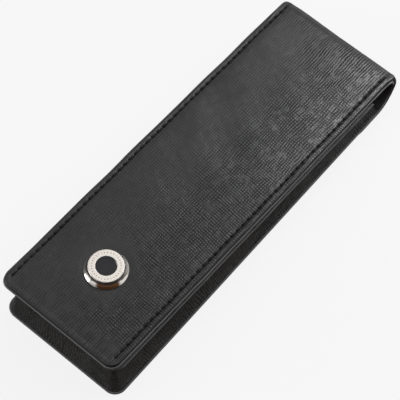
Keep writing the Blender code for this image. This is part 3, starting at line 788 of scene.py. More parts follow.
# painted highlight: the edge paint is glossy black, but the lip and body edges get a lighter base colour that paints
# the highlight on their beads
M_EDGE_LIP_PAINTED_HIGHLIGHT = edge_paint("edge_paint_lip_painted_highlight", (0.095, 0.095, 0.096), 0.30, 1.0)
M_EDGE_BODY_PAINTED_HIGHLIGHT = edge_paint("edge_paint_body_painted_highlight", (0.065, 0.065, 0.0655), 0.34, 0.9)
M_LINING = smooth_leather("lining_leather", (0.017, 0.017, 0.0185), 0.62)
M_FLESH = smooth_leather("inner_face", (0.03, 0.028, 0.026), 0.85)
M_THREAD = thread_look("thread", (0.016, 0.016, 0.0165))
M_CHROME = metal_look("cap_metal", (0.80, 0.75, 0.70), 0.05)
M_RING = metal_look("ring_metal", (0.95, 0.895, 0.82), 0.42, brush=0.004, metallic=0.55)
M_MARK = metal_look("ring_marks", (0.42, 0.37, 0.31), 0.5, metallic=0.5)
M_SNAP = metal_look("snap_metal", (0.64, 0.62, 0.58), 0.20, brush=0.003)

# =============================================================== flap skin
und_flap = soft_noise(11, 9, 18.0, 60.0)
und_fine = soft_noise(12, 14, 3.5, 9.0)


LEATHER_IN = 0.22                                   # outer leather inside the lip


LEFT_OUT = 0.225                                    # the flap lies this far to the left
edge_wave = soft_noise(14, 7, 14.0, 45.0)
lip_wave = soft_noise(15, 9, 9.0, 40.0)
APEX = 2.2                                          # from the folded end's tip to where the strips meet


def nose_pull(d):
    """Tightly bent leather draws its edges in: d from the tip of the bend."""
    return 1.20 * np.exp(-(d / 2.1) ** 2)


def flap_left(x, y):
    return -LEFT_OUT * (1 - smooth((y - 150.0) / 10.0)) + 0.05 * edge_wave(y, 30.0)


def flap_hw(s):
    """Half width: a touch fuller in the middle, and as wide as the back
    panel where it comes over the folded end."""
    s = np.asarray(s, float)
    full = 0.16 * np.sin(np.clip(s / 158.0, 0, 1) * math.pi) ** 1.5 + 0.06 * edge_wave(s, 0.0)
    base = FLAP_HW - LEATHER_IN + LEFT_OUT
    over = (NOSE_HW - base) * smooth((s - 152.5) / 12.0)
    fade = 1 - smooth((s - 158.0) / 6.0)
    return base + full * fade + over - nose_pull(s - (flap_path.length - APEX))


NOSE_HW = FLAP_HW + 0.45
flap = Panel(flap_path, flap_hw, FLAP_R, s0=0.30, shift=flap_left)
seam_c1 = flap.seam_end(ROLL_Y + 4.0)
n_st = int(seam_c1 // PITCH)
seam_c0 = -n_st * PITCH
flap_holes = holes_relief(flap, seam_c0, n_st * PITCH, groove=0.13, hole=0.62, near=0.0)


def pillow(d, c, near_depth=0.10):
    """The border outside the seam is a slim raised welt, and the face swells
    again inside it."""
    welt = 0.07 * np.exp(-((d - 1.05) / 0.55) ** 2)
    inner = 0.10 * smooth((d - STITCH_IN - 0.3) / 2.6)
    return welt + inner - near_depth * 0.5


def flap_relief(x, s, d, c):
    dd = np.minimum(d, 40.0)
    h = flap_holes(dd, c) + pillow(dd, c) * smooth(dd / 0.5)
    fade = smooth((dd - 0.4) / 3.0)
    h = h + 0.10 * und_flap(x, s) * fade + 0.018 * und_fine(x, s) * smooth((dd - 0.2) / 1.0)
    # leather drawn down a little round the pressed cap
    rad = np.hypot(x - SNAP_X, s - SNAP_Y)
    h = h - 0.16 * np.exp(-((rad - 7.6) / 1.7) ** 2)
    return h


r_top = 0.55
arc = [(r_top - r_top * math.sin(a), -r_top + r_top * math.cos(a), 0 if a < 0.7 else 1)
       for a in np.linspace(0, math.pi / 2, 6)]
ins = [FLAP_R, 3.7, 3.3, 3.0, 2.8, 2.65, 2.5, 2.4, 2.3, 2.15, 2.0, 1.8, 1.55, 1.3, 1.05, 0.8]
profile = ([(i, 0.0, 0) for i in ins] + arc
           + [(0.0, -0.9, 1), (0.02, -1.35, 1), (0.10, -1.62, 1), (0.30, -1.78, 1),
              (0.8, -1.85, 2), (FLAP_R, -1.85, 2)])
flap_skin = slab("flap_skin", flap, profile, [M_FLAP, M_EDGE_BLACK_PAINTED_SHADE, M_FLESH], 0.40, 0.80,
                 relief=flap_relief, left_mat=0)
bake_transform(flap_skin)
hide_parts("flap_leather", "fold_leather")

# under layer of the flap: lining leather whose painted edge stands out as a
# fine bright lip below the outer leather; its lighter base colour is painted highlight
lining_path = flap_path


def lining_under(x, s, d, c):
    return 0.03 * und_fine(x + 40, s) * smooth((d - 0.5) / 2.0)


def lip_hw(s):
    s = np.asarray(s, float)
    return flap_hw(s) + LEATHER_IN + 0.13 + 0.07 * lip_wave(s, 0.0) * (1 - smooth((s - 156.0) / 5.0))


lip = [(FLAP_R, -1.88, 0), (1.3, -1.88, 0), (0.95, -1.86, 1), (0.70, -1.80, 1), (0.50, -1.74, 1),
       (0.34, -1.74, 1), (0.20, -1.80, 1), (0.09, -1.90, 1), (0.02, -2.05, 1), (0.0, -2.24, 1),
       (0.02, -2.44, 1), (0.10, -2.62, 1), (0.24, -2.75, 1), (0.45, -2.80, 1), (0.9, -2.80, 2),
       (FLAP_R, -2.80, 2)]
lip_panel = Panel(flap_path, lip_hw, FLAP_R, s0=-0.05, shift=flap_left)
# over the folded end there is no board; the lining lies just under the leather all along the flap
flap_under = slab("flap_under", lip_panel, lip, [M_LINING, M_EDGE_LIP_PAINTED_HIGHLIGHT, M_LINING], 0.8, 2.0,
                  under=lining_under)


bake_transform(flap_under)
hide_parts("flap_lining", "fold_lining")

flap_stitch = stitches("flap_stitches", flap, seam_c0, n_st * PITCH + 0.01, M_THREAD, sink=0.19, near=0.0)
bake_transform(flap_stitch)
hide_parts("flap_stitching")

# ================================================================ back skin
def tuck(x, y):
    """The body's left near corner sits a little further in."""
    return 0.10 * smooth((-x - 14.0) / 9.0) * (1 - smooth((y - 8.0) / 22.0))


def back_hw(s):
    """Pouch width, a small step out past the gusset's end, and in towards the
    flap's width round the folded end."""
    s = np.asarray(s, float)
    y = s + BODY_NEAR
    h = BACK_HW + 0.25 * smooth((y - 137.5) / 2.5)
    return (h - (BACK_HW + 0.25 - NOSE_HW) * smooth((y - 152.0) / 14.0)
            - nose_pull(back_path.length - s + APEX))


back = Panel(back_path, back_hw, BACK_R, shift=tuck)
bc1 = back.seam_end(141.0)
n_b = int(bc1 // PITCH)
back_holes = holes_relief(back, -n_b * PITCH, n_b * PITCH, groove=0.32, hole=0.45)


def back_relief(x, s, d, c):
    dd = np.minimum(d, 40.0)
    return np.minimum(back_holes(dd, c) + 0.03 * und_fine(x + 90, s) * smooth(dd / 2.0) - 0.03, 0.0)


ins_b = [BACK_R, 4.4, 3.6, 3.15, 2.85, 2.65, 2.5, 2.4, 2.3, 2.15, 1.95, 1.7, 1.35, 1.0]
rb = 0.5
arc_b = [(rb - rb * math.sin(a), -rb + rb * math.cos(a), 0 if a < 0.9 else 1)
         for a in np.linspace(0, math.pi / 2, 5)]
profile_b = ([(i, 0.0, 0) for i in ins_b] + arc_b
             + [(0.0, -0.75, 1), (0.06, -0.98, 1), (0.22, -1.12, 1), (0.5, -1.2, 1), (0.9, -1.2, 2), (BACK_R, -1.2, 2)])
back_skin = slab("back_skin", back, profile_b, [M_BACK, M_EDGE_BODY_PAINTED_HIGHLIGHT, M_FLESH], 0.5, 1.2,
                 relief=back_relief)
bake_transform(back_skin)
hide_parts("back_leather")

back_stitch = stitches("back_stitches", back, -n_b * PITCH, n_b * PITCH + 0.01, M_THREAD,
                       r=0.18, sink=0.60)
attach(back_stitch, "pouch")
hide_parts("back_stitching")

# lining of the back: over the board, then down onto the leather and round
# the folded end to meet the flap's lining
lin_w = -2.6


def back_under(x, s, d, c):
    """Returns zero everywhere; nothing calls it."""
    y = s + BODY_NEAR
    return 0.7 * -smooth((y - 143.0) / 4.0) * -1.0 * 0 + 0.0 * y


blin = [(BACK_R, -1.30, 0), (0.4, -1.30, 0), (0.1, -1.36, 1), (0.0, -1.5, 1), (0.1, -1.68, 1),
        (0.4, -1.80, 1), (1.0, -1.80, 2), (BACK_R, -1.80, 2)]
back_lin_panel = Panel(back_path, lambda s: back_hw(s) - 5.2 + 4.6 * smooth((np.asarray(s) + BODY_NEAR - 146.5) / 6.0),
                       BACK_R, s0=4.9)
back_lining = slab("back_lining_skin", back_lin_panel, blin, [M_LINING, M_LINING, M_LINING], 1.0, 2.0,
                   under=lambda x, s, d, c: -0.75 * smooth((146.0 - (s + BODY_NEAR)) / 3.0)
                   + 0.04 * und_fine(x, s))
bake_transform(back_lining)
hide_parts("back_lining")

# ============================================================== front panel
front_wave = soft_noise(16, 9, 9.0, 40.0)
front = Panel(front_path, lambda s: FRONT_HW + 0.18 + 0.07 * front_wave(s, 0.0), FRONT_R, shift=tuck)
fc1 = front.seam_end(front.s1 - 2.0)
n_f = int(fc1 // PITCH)
front_holes = holes_relief(front, -n_f * PITCH, n_f * PITCH, groove=0.25, hole=0.45)


def front_relief(x, s, d, c):
    dd = np.minimum(d, 40.0)
    h = front_holes(dd, c) + 0.5 * pillow(dd, c) * smooth(dd / 0.5) + 0.02 * und_fine(x + 9, s) - 0.08
    rad = np.hypot(x - SNAP_X, s - SNAP_Y + FRONT_NEAR)
    return np.minimum(h - 0.55 * smooth((5.6 - rad) / 0.7), 0.02)


rf = 0.62
arc_f = [(rf - rf * math.sin(a), -rf + rf * math.cos(a), 0 if a < 0.9 else 1)
         for a in np.linspace(0, math.pi / 2, 5)]
ins_f = [FRONT_R, 4.4, 3.6, 3.15, 2.85, 2.65, 2.5, 2.4, 2.3, 2.15, 1.95, 1.7, 1.35, 0.9]
profile_f = ([(i, 0.0, 0) for i in ins_f] + arc_f
             + [(0.0, -0.80, 1), (0.05, -1.0, 1), (0.2, -1.2, 1), (0.6, -1.3, 2), (FRONT_R, -1.3, 2)])
front_skin = slab("front_skin", front, profile_f, [M_FRONT, M_EDGE_BODY_PAINTED_HIGHLIGHT, M_FLESH], 0.45, 1.0,
                  relief=front_relief, end_round=0.6)
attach(front_skin, "pouch")
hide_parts("front_leather")
flin = [(FRONT_R, -1.36, 0), (0.5, -1.36, 0), (0.15, -1.42, 1), (0.05, -1.6, 1), (0.08, -1.95, 1),
        (0.25, -2.14, 1), (0.6, -2.2, 1), (1.0, -2.2, 2), (FRONT_R, -2.2, 2)]
front_lin_panel = Panel(front_path, FRONT_HW - 5.0, FRONT_R, s0=4.9, s1=front.s1 - 0.3)
front_lining = slab("front_lining_skin", front_lin_panel, flin, [M_LINING, M_LINING, M_LINING], 1.5, 2.0,
                    under=lambda x, s, d, c: 0.03 * und_fine(x, s), end_round=0.4)
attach(front_lining, "pouch")
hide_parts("front_lining")
front_stitch = stitches("front_stitches", front, -n_f * PITCH, n_f * PITCH + 0.01, M_THREAD,
                        r=0.22, sink=0.30)
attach(front_stitch, "pouch")
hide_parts("front_stitching")

# ================================================================= gussets
gus_noise = soft_noise(31, 12, 7.0, 26.0)
gus_fine = soft_noise(32, 12, 2.5, 6.0)


def gusset_top(y):
    return top_z(y, -FLAP_GAP - 1.0 - 0.2 - 0.15)


def gusset_chain(y, c, lip_in=0.0):
    """(inset, z) down the outer face of the gusset: flange, concave wall with
    a soft V crease in the middle, flange. c is the length along the strip."""
    z0, z1 = 1.32, gusset_top(y)
    pts = [(4.0, z0), (2.0, z0), (0.9, z0), (0.42, z0 + 0.04), (0.20, z0 + 0.22)]
    depth = 2.75 + 0.25 * gus_noise(c, 0.0)
    mid = 0.5 + 0.04 * gus_noise(c, 50.0)
    for t in np.linspace(0.05, 0.95, 23):
        if t < mid:
            q = t / mid
        else:
            q = (1 - t) / (1 - mid)
        # steep at the seams, nearly straight into the crease
        e = depth * (0.62 * (1 - (1 - q) ** 2.4) + 0.38 * q)
        e += 0.10 * gus_noise(c, t * 22.0) * math.sin(math.pi * t) + 0.03 * gus_fine(c, t * 20.0)
        pts.append((0.20 + e, z0 + 0.22 + (z1 - z0 - 0.44) * t))
    pts += [(0.20, z1 - 0.22), (0.42, z1 - 0.04), (0.9, z1), (2.0, z1), (4.0, z1)]
    return np.array(pts)


def offset2(chain, d):
    t = np.gradient(chain, axis=0)
    t /= np.linalg.norm(t, axis=1)[:, None]
    n = np.stack([t[:, 1], -t[:, 0]], 1)
    return chain + n * d


def plan_u(c, e, near_half, up=0.0):
    """Plan point on the U at strip length c (0 mid near end, + right). up is
    0 at the foot and 1 at the top, which stands further in."""
    x, y = plan_plain(c, e, near_half, up)
    return x + float(tuck(x, y)), y + 4.3 * float(smooth((y - 120.0) / 26.0)) * (1.0 - up)


def plan_plain(c, e, near_half, up):
    sign = -1.0 if c < 0 else 1.0
    a = abs(c)
    r = GUSSET_R
    q = (r - 1.5) * math.pi / 2                      # measured at inset 1.5
    k = 1.0 - smooth((a - near_half) / q)
    e = e + up * (SIDE_LEAN + (NEAR_LEAN - SIDE_LEAN) * k)
    if a <= near_half:
        return c, GUSSET_NEAR_Y + e
    if a <= near_half + q:
        th = (a - near_half) / (r - 1.5)
        rr = r - e
        return (sign * (near_half + rr * math.sin(th)), GUSSET_NEAR_Y + r - rr * math.cos(th))
    return sign * (GUSSET_HW - e), GUSSET_NEAR_Y + r + (a - near_half - q)


GUSSET_NEAR_Y = -0.3
G_HALF = GUSSET_HW - GUSSET_R
G_Q = (GUSSET_R - 1.5) * math.pi / 2


def gusset_piece(name, c_list, thick_scale, push):
    """Loft along strip lengths c_list. push moves a station outwards."""
    b = Builder()
    O, I, UVO = [], [], []
    for c, ts, out in zip(c_list, thick_scale, push):
        y_ref = plan_u(c, 2.6, G_HALF)[1]
        ch = gusset_chain(min(y_ref, MOUTH_Y), c)
        zb, zt = ch[0][1], ch[-1][1]
        o = ch - np.array([out, 0])
        i = offset2(ch, GUSSET_T * 0.92 * ts)
        mid = (o + i) / 2
        o = mid + (o - mid)
        arc_len = np.r_[0, np.cumsum(np.linalg.norm(np.diff(ch, axis=0), axis=1))]
        O.append(np.array([(*plan_u(c, e, G_HALF, (z - zb) / (zt - zb)), z) for e, z in o]))
        I.append(np.array([(*plan_u(c, e, G_HALF, (z - zb) / (zt - zb)), z) for e, z in i]))
        UVO.append(np.stack([arc_len, np.full(len(ch), c)], 1))
    b.grid(O, UVO, 0)
    b.grid(I, [u + np.array([60.0, 0]) for u in UVO], 2, flip=True)
    n = len(O[0])
    for k in range(len(O) - 1):                      # flange ends
        for j in (0, n - 1):
            b.face([b.v(p) for p in (O[k][j], O[k + 1][j], I[k + 1][j], I[k][j])],
                   [UVO[k][j]] * 4, 1)
    for k in (0, len(O) - 1):                        # strip ends
        for j in range(n - 1):
            b.face([b.v(p) for p in (O[k][j], O[k][j + 1], I[k][j + 1], I[k][j])],
                   [UVO[k][j], UVO[k][j + 1], UVO[k][j + 1] + np.array([0, 1.0]), UVO[k][j] + np.array([0, 1.0])], 1)
    ob = b.done(name, [M_GUSSET, M_EDGE_BODY_PAINTED_HIGHLIGHT, M_LINING], 45)
    fix_normals(ob)
    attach(ob, "pouch")
    return ob


far_c = G_HALF + G_Q + (MOUTH_Y - (GUSSET_NEAR_Y + GUSSET_R))
side_c = np.r_[np.linspace(G_HALF + 0.02, G_HALF + G_Q, 12), np.linspace(G_HALF + G_Q, far_c - 0.6, 110)[1:],
               [far_c - 0.35, far_c - 0.12, far_c]]
scale = np.r_[np.ones(len(side_c) - 2), [0.9, 0.7]]
for sgn, nm in ((-1, "left_gusset"), (1, "right_gusset")):
    ob = gusset_piece(nm + "_skin", list(sgn * side_c), scale, [0.0] * len(side_c))
    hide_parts(nm)
near_c = np.linspace(-G_HALF - 1.6, G_HALF + 1.6, 46)
ob = gusset_piece("bottom_gusset_skin", list(near_c), np.ones(len(near_c)) * 0.8, [0.0] * len(near_c))
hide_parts("bottom_gusset")

# ================================================================== divider
div_n = soft_noise(41, 8, 12.0, 40.0)
b = Builder()
rowsO, rowsI, uvs = [], [], []
for y in np.linspace(6.0, 140.0, 60):
    z0, z1 = 2.84, top_z(y, -2.7)
    zs = np.r_[z0, z0 + 0.12, z0 + 0.3, z0 + 0.8, np.linspace(z0 + 1.4, z1 - 1.4, 7), z1 - 0.8, z1 - 0.3, z1 - 0.12, z1]
    foot = np.array([3.0, 2.2, 1.2, 0.55] + [0.38] * 7 + [0.55, 1.2, 2.2, 3.0])
    wave = 0.35 * div_n(y, zs * 1.0) * np.sin(np.pi * (zs - z0) / (z1 - z0))
    rowsO.append(np.stack([-0.4 + wave, np.full(len(zs), y), zs], 1))
    rowsI.append(np.stack([foot + wave, np.full(len(zs), y), zs], 1))
    uvs.append(np.stack([np.full(len(zs), y), zs], 1))
b.grid(rowsO, uvs, 0)
b.grid(rowsI, [u + np.array([0, 40.0]) for u in uvs], 0, flip=True)
for k in range(len(rowsO) - 1):
    for j in (0, -1):
        b.face([b.v(p) for p in (rowsO[k][j], rowsO[k + 1][j], rowsI[k + 1][j], rowsI[k][j])],
               [uvs[k][j]] * 4, 0)
for k in (0, -1):
    for j in range(len(rowsO[0]) - 1):
        b.face([b.v(p) for p in (rowsO[k][j], rowsO[k][j + 1], rowsI[k][j + 1], rowsI[k][j])],
               [uvs[k][j], uvs[k][j + 1], uvs[k][j + 1], uvs[k][j]], 0)
div = b.done("divider_skin", [M_LINING], 50)
fix_normals(div)
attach(div, "pouch")
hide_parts("divider")


# ============================================================ turned pieces
def flap_frame(y_along, w):
    y = y_along * _c + w * _s
    z = LIP_NEAR - y_along * _s + w * _c
    return (Matrix.Translation((SNAP_X * MM, (y - Y_MID) * MM, z * MM))
            @ Matrix.Rotation(-TILT, 4, "X"))


def lathe(name, profile, segs, material, body, node=None, bump=None, closed=False, sharp=35):
    """Profile (r, w) spun about the snap's axis; closed for a ring."""
    pts = np.array(profile, float)
    me = bpy.data.meshes.new(name)
    verts, faces, uvs = [], [], []
    idx = []
    for r, w in pts:
        if r < 1e-6:
            idx.append([len(verts)] * segs)
            verts.append((0, 0, w * MM))
        else:
            row = []
            for k in range(segs):
                th = 2 * math.pi * k / segs
                dw = bump(r, th, w) if bump else 0.0
                row.append(len(verts))
                verts.append((r * math.cos(th) * MM, r * math.sin(th) * MM, (w + dw) * MM))
            idx.append(row)
    pairs = list(zip(range(len(pts) - 1), range(1, len(pts))))
    if closed:
        pairs.append((len(pts) - 1, 0))
    arc_len = np.r_[0, np.cumsum(np.hypot(*np.diff(pts, axis=0).T))]
    for i, j in pairs:
        for k in range(segs):
            k2 = (k + 1) % segs
            q = [idx[i][k], idx[j][k], idx[j][k2], idx[i][k2]]
            t = [(k / segs * 40, arc_len[i]), (k / segs * 40, arc_len[j]),
                 ((k + 1) / segs * 40, arc_len[j]), ((k + 1) / segs * 40, arc_len[i])]
            keep, kt = [], []
            for a, bb in zip(q, t):
                if a not in keep:
                    keep.append(a)
                    kt.append(bb)
            if len(keep) > 2:
                faces.append(keep)
                uvs.append(kt)
    me.from_pydata(verts, [], faces)
    lay = me.uv_layers.new(name="mm")
    lay.data.foreach_set("uv", np.array([c for f in uvs for t in f for c in t], np.float32))
    me.materials.append(material)
    me.transform(flap_frame(SNAP_Y, 0.0))
    me.shade_smooth()
    me.set_sharp_from_angle(angle=math.radians(sharp))
    ob = bpy.data.objects.new(name, me)
    bpy.context.scene.collection.objects.link(ob)
    fix_normals(ob)
    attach(ob, body)
    if node:
        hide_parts(node)
    return ob


def fillet(pts, r, n=3):
    """Rounds the inner corners of an open profile by r."""
    pts = [np.array(p, float) for p in pts]
    out = [pts[0]]
    for a, p, c in zip(pts, pts[1:], pts[2:]):
        u, v = a - p, c - p
        lu, lv = np.linalg.norm(u), np.linalg.norm(v)
        k = min(r, lu * 0.45, lv * 0.45)
        p0, p1 = p + u / lu * k, p + v / lv * k
        for t in np.linspace(0, 1, n + 1):
            out.append((1 - t) ** 2 * p0 + 2 * t * (1 - t) * p + t * t * p1)
    out.append(pts[-1])
    return out


cap0 = FLAP_T + 0.1
CAP_H = 2.7
tray = cap0 + CAP_H - 0.75
cap_profile = fillet([
    (0.0, tray), (6.36, tray), (6.36, cap0 + CAP_H - 0.06), (6.44, cap0 + CAP_H - 0.03),
    (6.52, cap0 + CAP_H - 0.12), (6.64, cap0 + CAP_H - 0.50), (6.97, cap0 + 1.42), (7.36, cap0 + 0.84),
    (7.74, cap0 + 0.38), (8.00, cap0 + 0.09), (8.03, cap0 + 0.0), (7.95, cap0 - 0.08), (7.4, cap0 - 0.06),
    (7.1, cap0 + 0.35), (6.6, cap0 + 0.9), (6.05, cap0 + 1.2), (0.0, cap0 + 1.2)], 0.12, 3)
lathe("button_cap_skin", cap_profile, 128, M_CHROME, "flap", "button_cap")

ring_top = tray + 0.74
N_MARK = 30


def engraved(r, th, w):
    """Short radial dashes all round, evenly spaced, in a shallow band."""
    if w < ring_top - 0.02:
        return 0.0
    ph = (th * N_MARK / (2 * math.pi)) % 1.0
    on = abs(ph - 0.5) < 0.13 and 4.98 < r < 5.42
    groove = 0.03 if abs(r - 4.34) < 0.07 else 0.0
    return -(0.07 if on else 0.0) - groove


ring_r = [4.0, 4.1, 4.26, 4.27, 4.41, 4.42, 4.70, 4.96, 5.0, 5.1, 5.3, 5.4, 5.44, 5.64, 5.9, 6.05, 6.2]
ring_profile = ([(3.88, tray + 0.2), (3.88, tray + 0.60), (3.92, tray + 0.70)]
                + [(r, ring_top) for r in ring_r]
                + [(6.29, tray + 0.715), (6.335, tray + 0.66), (6.335, tray + 0.2)])
lathe("button_ring_skin", ring_profile, 432, M_RING, "flap", "button_ring",
      bump=engraved, closed=True, sharp=30)
# darker blocks at the bottom of the dashes
marks = Builder()
for k in range(N_MARK):
    th = 2 * math.pi * (k + 0.5) / N_MARK
    half = 2 * math.pi / N_MARK * 0.12
    rr = [5.0, 5.4]
    cs = [(r * math.cos(th + a), r * math.sin(th + a)) for r in rr for a in (-half, half)]
    zt, zb = ring_top - 0.03, ring_top - 0.10
    top = [marks.v((x, y, zt)) for x, y in cs]
    bot = [marks.v((x, y, zb)) for x, y in cs]
    q = lambda ids: marks.face(ids, [(0, 0)] * 4, 0)
    q([top[0], top[2], top[3], top[1]])
    q([bot[0], bot[1], bot[3], bot[2]])
    for a, c2 in ((0, 1), (1, 3), (3, 2), (2, 0)):
        q([top[a], top[c2], bot[c2], bot[a]])
mk = marks.done("button_ring_marks", [M_MARK], 30)
mk.data.transform(Matrix.Translation((0, Y_MID * MM, 0)))
mk.data.transform(flap_frame(SNAP_Y, 0.0))
fix_normals(mk)
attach(mk, "flap")

mi = Mat("onyx_inlay")
cloud = mi.noise(mi.obj(), 420.0, 3.0, 0.6)
mi.set("Base Color", mi.mix(cloud, (0.010, 0.010, 0.012), (0.022, 0.022, 0.025)))
mi.set("Roughness", mi.between(mi.noise(mi.obj(), 2500.0, 2.0), 0.05, 0.13))
lathe("button_inlay_skin", [(0.0, tray + 0.83), (0.9, tray + 0.826), (1.8, tray + 0.81), (2.5, tray + 0.785),
                            (3.1, tray + 0.75), (3.55, tray + 0.71), (3.78, tray + 0.66), (3.84, tray + 0.58),
                            (3.84, tray + 0.22), (3.6, tray + 0.15), (0.0, tray + 0.15)],
      96, mi.mat, "flap", "button_inlay")

# the working snap inside
lathe("snap_socket_skin", fillet([
    (1.8, 1.35), (5.1, 1.35), (5.4, 1.15), (5.4, 0.70), (4.9, 0.42), (4.2, 0.30), (3.7, 0.02),
    (3.2, -0.08), (2.75, 0.02), (2.75, 0.30), (3.25, 0.45), (3.25, 0.85), (2.75, 1.0),
    (1.8, 1.0), (1.8, 1.35)], 0.14, 3)[:-1], 96, M_SNAP, "flap", "snap_socket", closed=True)
ringp = [(2.72 + 0.36 * math.cos(a), 0.62 + 0.12 * math.sin(a)) for a in np.linspace(0, 2 * math.pi, 13)[:-1]]
lathe("socket_spring_skin", ringp, 72, M_SNAP, "flap", "socket_spring", closed=True, sharp=70)
seat = -FLAP_GAP - 0.6
lathe("snap_stud_skin", fillet([
    (0.0, 0.86), (1.1, 0.83), (1.85, 0.62), (2.05, 0.35), (1.85, 0.08), (1.72, -0.12),
    (1.85, seat + 0.50), (2.6, seat + 0.42), (4.4, seat + 0.42), (4.75, seat + 0.32), (4.8, seat + 0.15),
    (1.9, seat + 0.12), (1.3, seat + 0.12), (1.3, 0.2), (0.0, 0.2)], 0.16, 3), 96, M_SNAP, "pouch",
    "snap_stud")
lathe("stud_rivet_skin", fillet([
    (0.0, -0.1), (1.05, -0.1), (1.05, -1.5), (4.3, -1.5), (4.6, -1.65), (4.6, -1.85), (0.0, -1.85)], 0.1, 3),
    64, M_SNAP, "pouch", "stud_rivet")
lathe("button_rivet_skin", fillet([
    (0.0, cap0 + 0.9), (5.0, cap0 + 0.9), (5.4, cap0 + 0.5), (5.4, cap0 + 0.2),
    (1.55, cap0 + 0.2), (1.55, 1.75), (0.0, 1.75)], 0.1, 3), 64, M_SNAP, "flap", "button_rivet")

# ========================================== CAD nodes that stay, better dressed
board = Mat("board_pulp")
fib = board.noise(board.mapping(board.obj(), scale=(1, 0.35, 1)), 1400.0, 4.0, 0.7)
board.set("Base Color", board.mix(fib, (0.22, 0.20, 0.17), (0.42, 0.39, 0.34)))
board.set("Roughness", board.between(fib, 0.85, 0.95))
board.set("Normal", board.bump(fib, 0.03 * MM))
for n in ("back_board", "front_board", "flap_board"):
    ob = frame["nodes"][n]
    ob.data.materials.clear()
    ob.data.materials.append(board.mat)

# ==================================================================== stage
# a pale floor that the case doesn't mirror, so that its walls stay as dark as
# on a studio table
fl = Mat("floor")
fl.t.nodes.remove(fl.bsdf)
dif = fl.node("ShaderNodeBsdfDiffuse", Color=(0.10, 0.10, 0.10))
emi = fl.node("ShaderNodeEmission", Color=(1, 1, 1), Strength=0.845)
add = fl.t.nodes.new("ShaderNodeAddShader")
fl.t.links.new(dif.outputs[0], add.inputs[0])
fl.t.links.new(emi.outputs[0], add.inputs[1])
fl.t.links.new(add.outputs[0], fl.t.nodes["Material Output"].inputs["Surface"])
me = bpy.data.meshes.new("floor")
me.from_pydata([(-6, -6, -0.0002), (6, -6, -0.0002), (6, 6, -0.0002), (-6, 6, -0.0002)], [], [(0, 1, 2, 3)])
me.materials.append(fl.mat)
floor = bpy.data.objects.new("floor", me)
bpy.context.scene.collection.objects.link(floor)
floor.visible_glossy = False
floor.visible_diffuse = False

world = bpy.data.worlds.new("studio")
bpy.context.scene.world = world
world.use_nodes = True
wt = world.node_tree
bg = wt.nodes["Background"]
co = wt.nodes.new("ShaderNodeTexCoord")
sx = wt.nodes.new("ShaderNodeSeparateXYZ")
wt.links.new(co.outputs["Generated"], sx.inputs[0])
sky = wt.nodes.new("ShaderNodeValToRGB")
sky.color_ramp.elements.remove(sky.color_ramp.elements[1])
for i_, (pos, col) in enumerate(((0.0, (0.04, 0.037, 0.034)), (0.15, (0.13, 0.127, 0.123)),
                                 (0.28, (0.42, 0.41, 0.40)), (0.50, (0.95, 0.95, 0.95)),
                                 (0.57, (0.80, 0.80, 0.81)), (0.66, (0.40, 0.40, 0.41)),
                                 (0.88, (0.46, 0.46, 0.47)), (0.95, (0.60, 0.60, 0.61)),
                                 (1.0, (0.62, 0.62, 0.63)))):
    e_ = sky.color_ramp.elements[0] if i_ == 0 else sky.color_ramp.elements.new(pos)
    e_.position = pos
    e_.color = (*col, 1.0)
mr = wt.nodes.new("ShaderNodeMapRange")
mr.inputs["From Min"].default_value = -1.0
wt.links.new(sx.outputs["Z"], mr.inputs["Value"])
wt.links.new(mr.outputs["Result"], sky.inputs["Fac"])
# the side the picture is taken from is darker: a warm dim wall
dot = wt.nodes.new("ShaderNodeVectorMath")
dot.operation = "DOT_PRODUCT"
wt.links.new(co.outputs["Generated"], dot.inputs[0])
dot.inputs[1].default_value = (0.74, -0.673, 0.0)
side = wt.nodes.new("ShaderNodeMapRange")
side.interpolation_type = "SMOOTHSTEP"
for k_, v_ in (("From Min", 0.55), ("From Max", 0.75), ("To Min", 1.0), ("To Max", 0.0)):
    side.inputs[k_].default_value = v_
wt.links.new(dot.outputs["Value"], side.inputs["Value"])
tint = wt.nodes.new("ShaderNodeMix")
tint.data_type = "RGBA"
tint.inputs[6].default_value = (0.12, 0.060, 0.030, 1)
tint.inputs[7].default_value = (1, 1, 1, 1)
wt.links.new(side.outputs["Result"], tint.inputs[0])
both = wt.nodes.new("ShaderNodeMix")
both.data_type = "RGBA"
both.blend_type = "MULTIPLY"
both.inputs[0].default_value = 1.0
wt.links.new(sky.outputs["Color"], both.inputs[6])
wt.links.new(tint.outputs[2], both.inputs[7])
wt.links.new(both.outputs[2], bg.inputs["Color"])


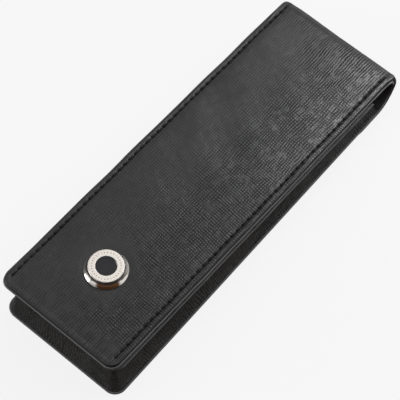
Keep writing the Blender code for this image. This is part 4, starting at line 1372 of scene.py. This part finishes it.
def softbox(name, az_, el_, dist, w, h, radiance, tint=(1, 1, 1)):
    """Area light facing the object from azimuth az_ (0 = +Y, 90 = +X) and
    elevation el_, with a given surface brightness."""
    a_, e_ = math.radians(az_), math.radians(el_)
    d = Vector((math.sin(a_) * math.cos(e_), math.cos(a_) * math.cos(e_), math.sin(e_)))
    li = bpy.data.lights.new(name, "AREA")
    li.shape = "RECTANGLE"
    li.size, li.size_y = w, h
    li.energy = radiance * w * h * math.pi
    li.color = tint
    ob = bpy.data.objects.new(name, li)
    ob.location = d * dist
    ob.rotation_mode = "QUATERNION"
    ob.rotation_quaternion = d.to_track_quat("Z", "Y")
    bpy.context.scene.collection.objects.link(ob)
    return ob


softbox("key_far", 20, 30, 1.6, 1.2, 0.7, 3.4)
softbox("card_left", -72, 6, 1.5, 1.1, 0.5, 1.7)
softbox("card_near_left", -136, 9, 1.2, 0.6, 0.40, 4.0)
softbox("fill_high", 150, 62, 1.8, 0.9, 0.9, 0.8)
# a small lamp close by, over the far right corner
glow = softbox("glow_far", 0, 45, 0.5, 0.15, 0.15, 6.5)
glow.location = Vector((-0.030, 0.330, 0.378))
glow.rotation_quaternion = (glow.location - Vector((0.035, 0.080, 0.015))).to_track_quat("Z", "Y")

cam = bpy.data.cameras.new("camera")
cam_ob = bpy.data.objects.new("camera", cam)
bpy.context.scene.collection.objects.link(cam_ob)
az, el, roll = math.radians(40.32), math.radians(63.678), math.radians(-0.164)
back_v = Vector((math.sin(az) * math.cos(el), -math.cos(az) * math.cos(el), math.sin(el)))
right_v = Vector((math.cos(az), math.sin(az), 0))
up_v = back_v.cross(right_v)
r2 = right_v * math.cos(roll) + up_v * math.sin(roll)
u2 = -right_v * math.sin(roll) + up_v * math.cos(roll)
loc = Vector((-0.001135, (78.506 - Y_MID) * MM, 0)) + back_v * 0.659336
cam_ob.matrix_world = Matrix((
    (r2.x, u2.x, back_v.x, loc.x), (r2.y, u2.y, back_v.y, loc.y),
    (r2.z, u2.z, back_v.z, loc.z), (0, 0, 0, 1)))
cam.sensor_width = 36.0
cam.lens = 1775.402 / 400.0 * 36.0
cam.clip_start, cam.clip_end = 0.01, 50.0
bpy.context.scene.camera = cam_ob
bpy.context.scene.view_settings.view_transform = "Standard"
bpy.context.scene.view_settings.look = "None"
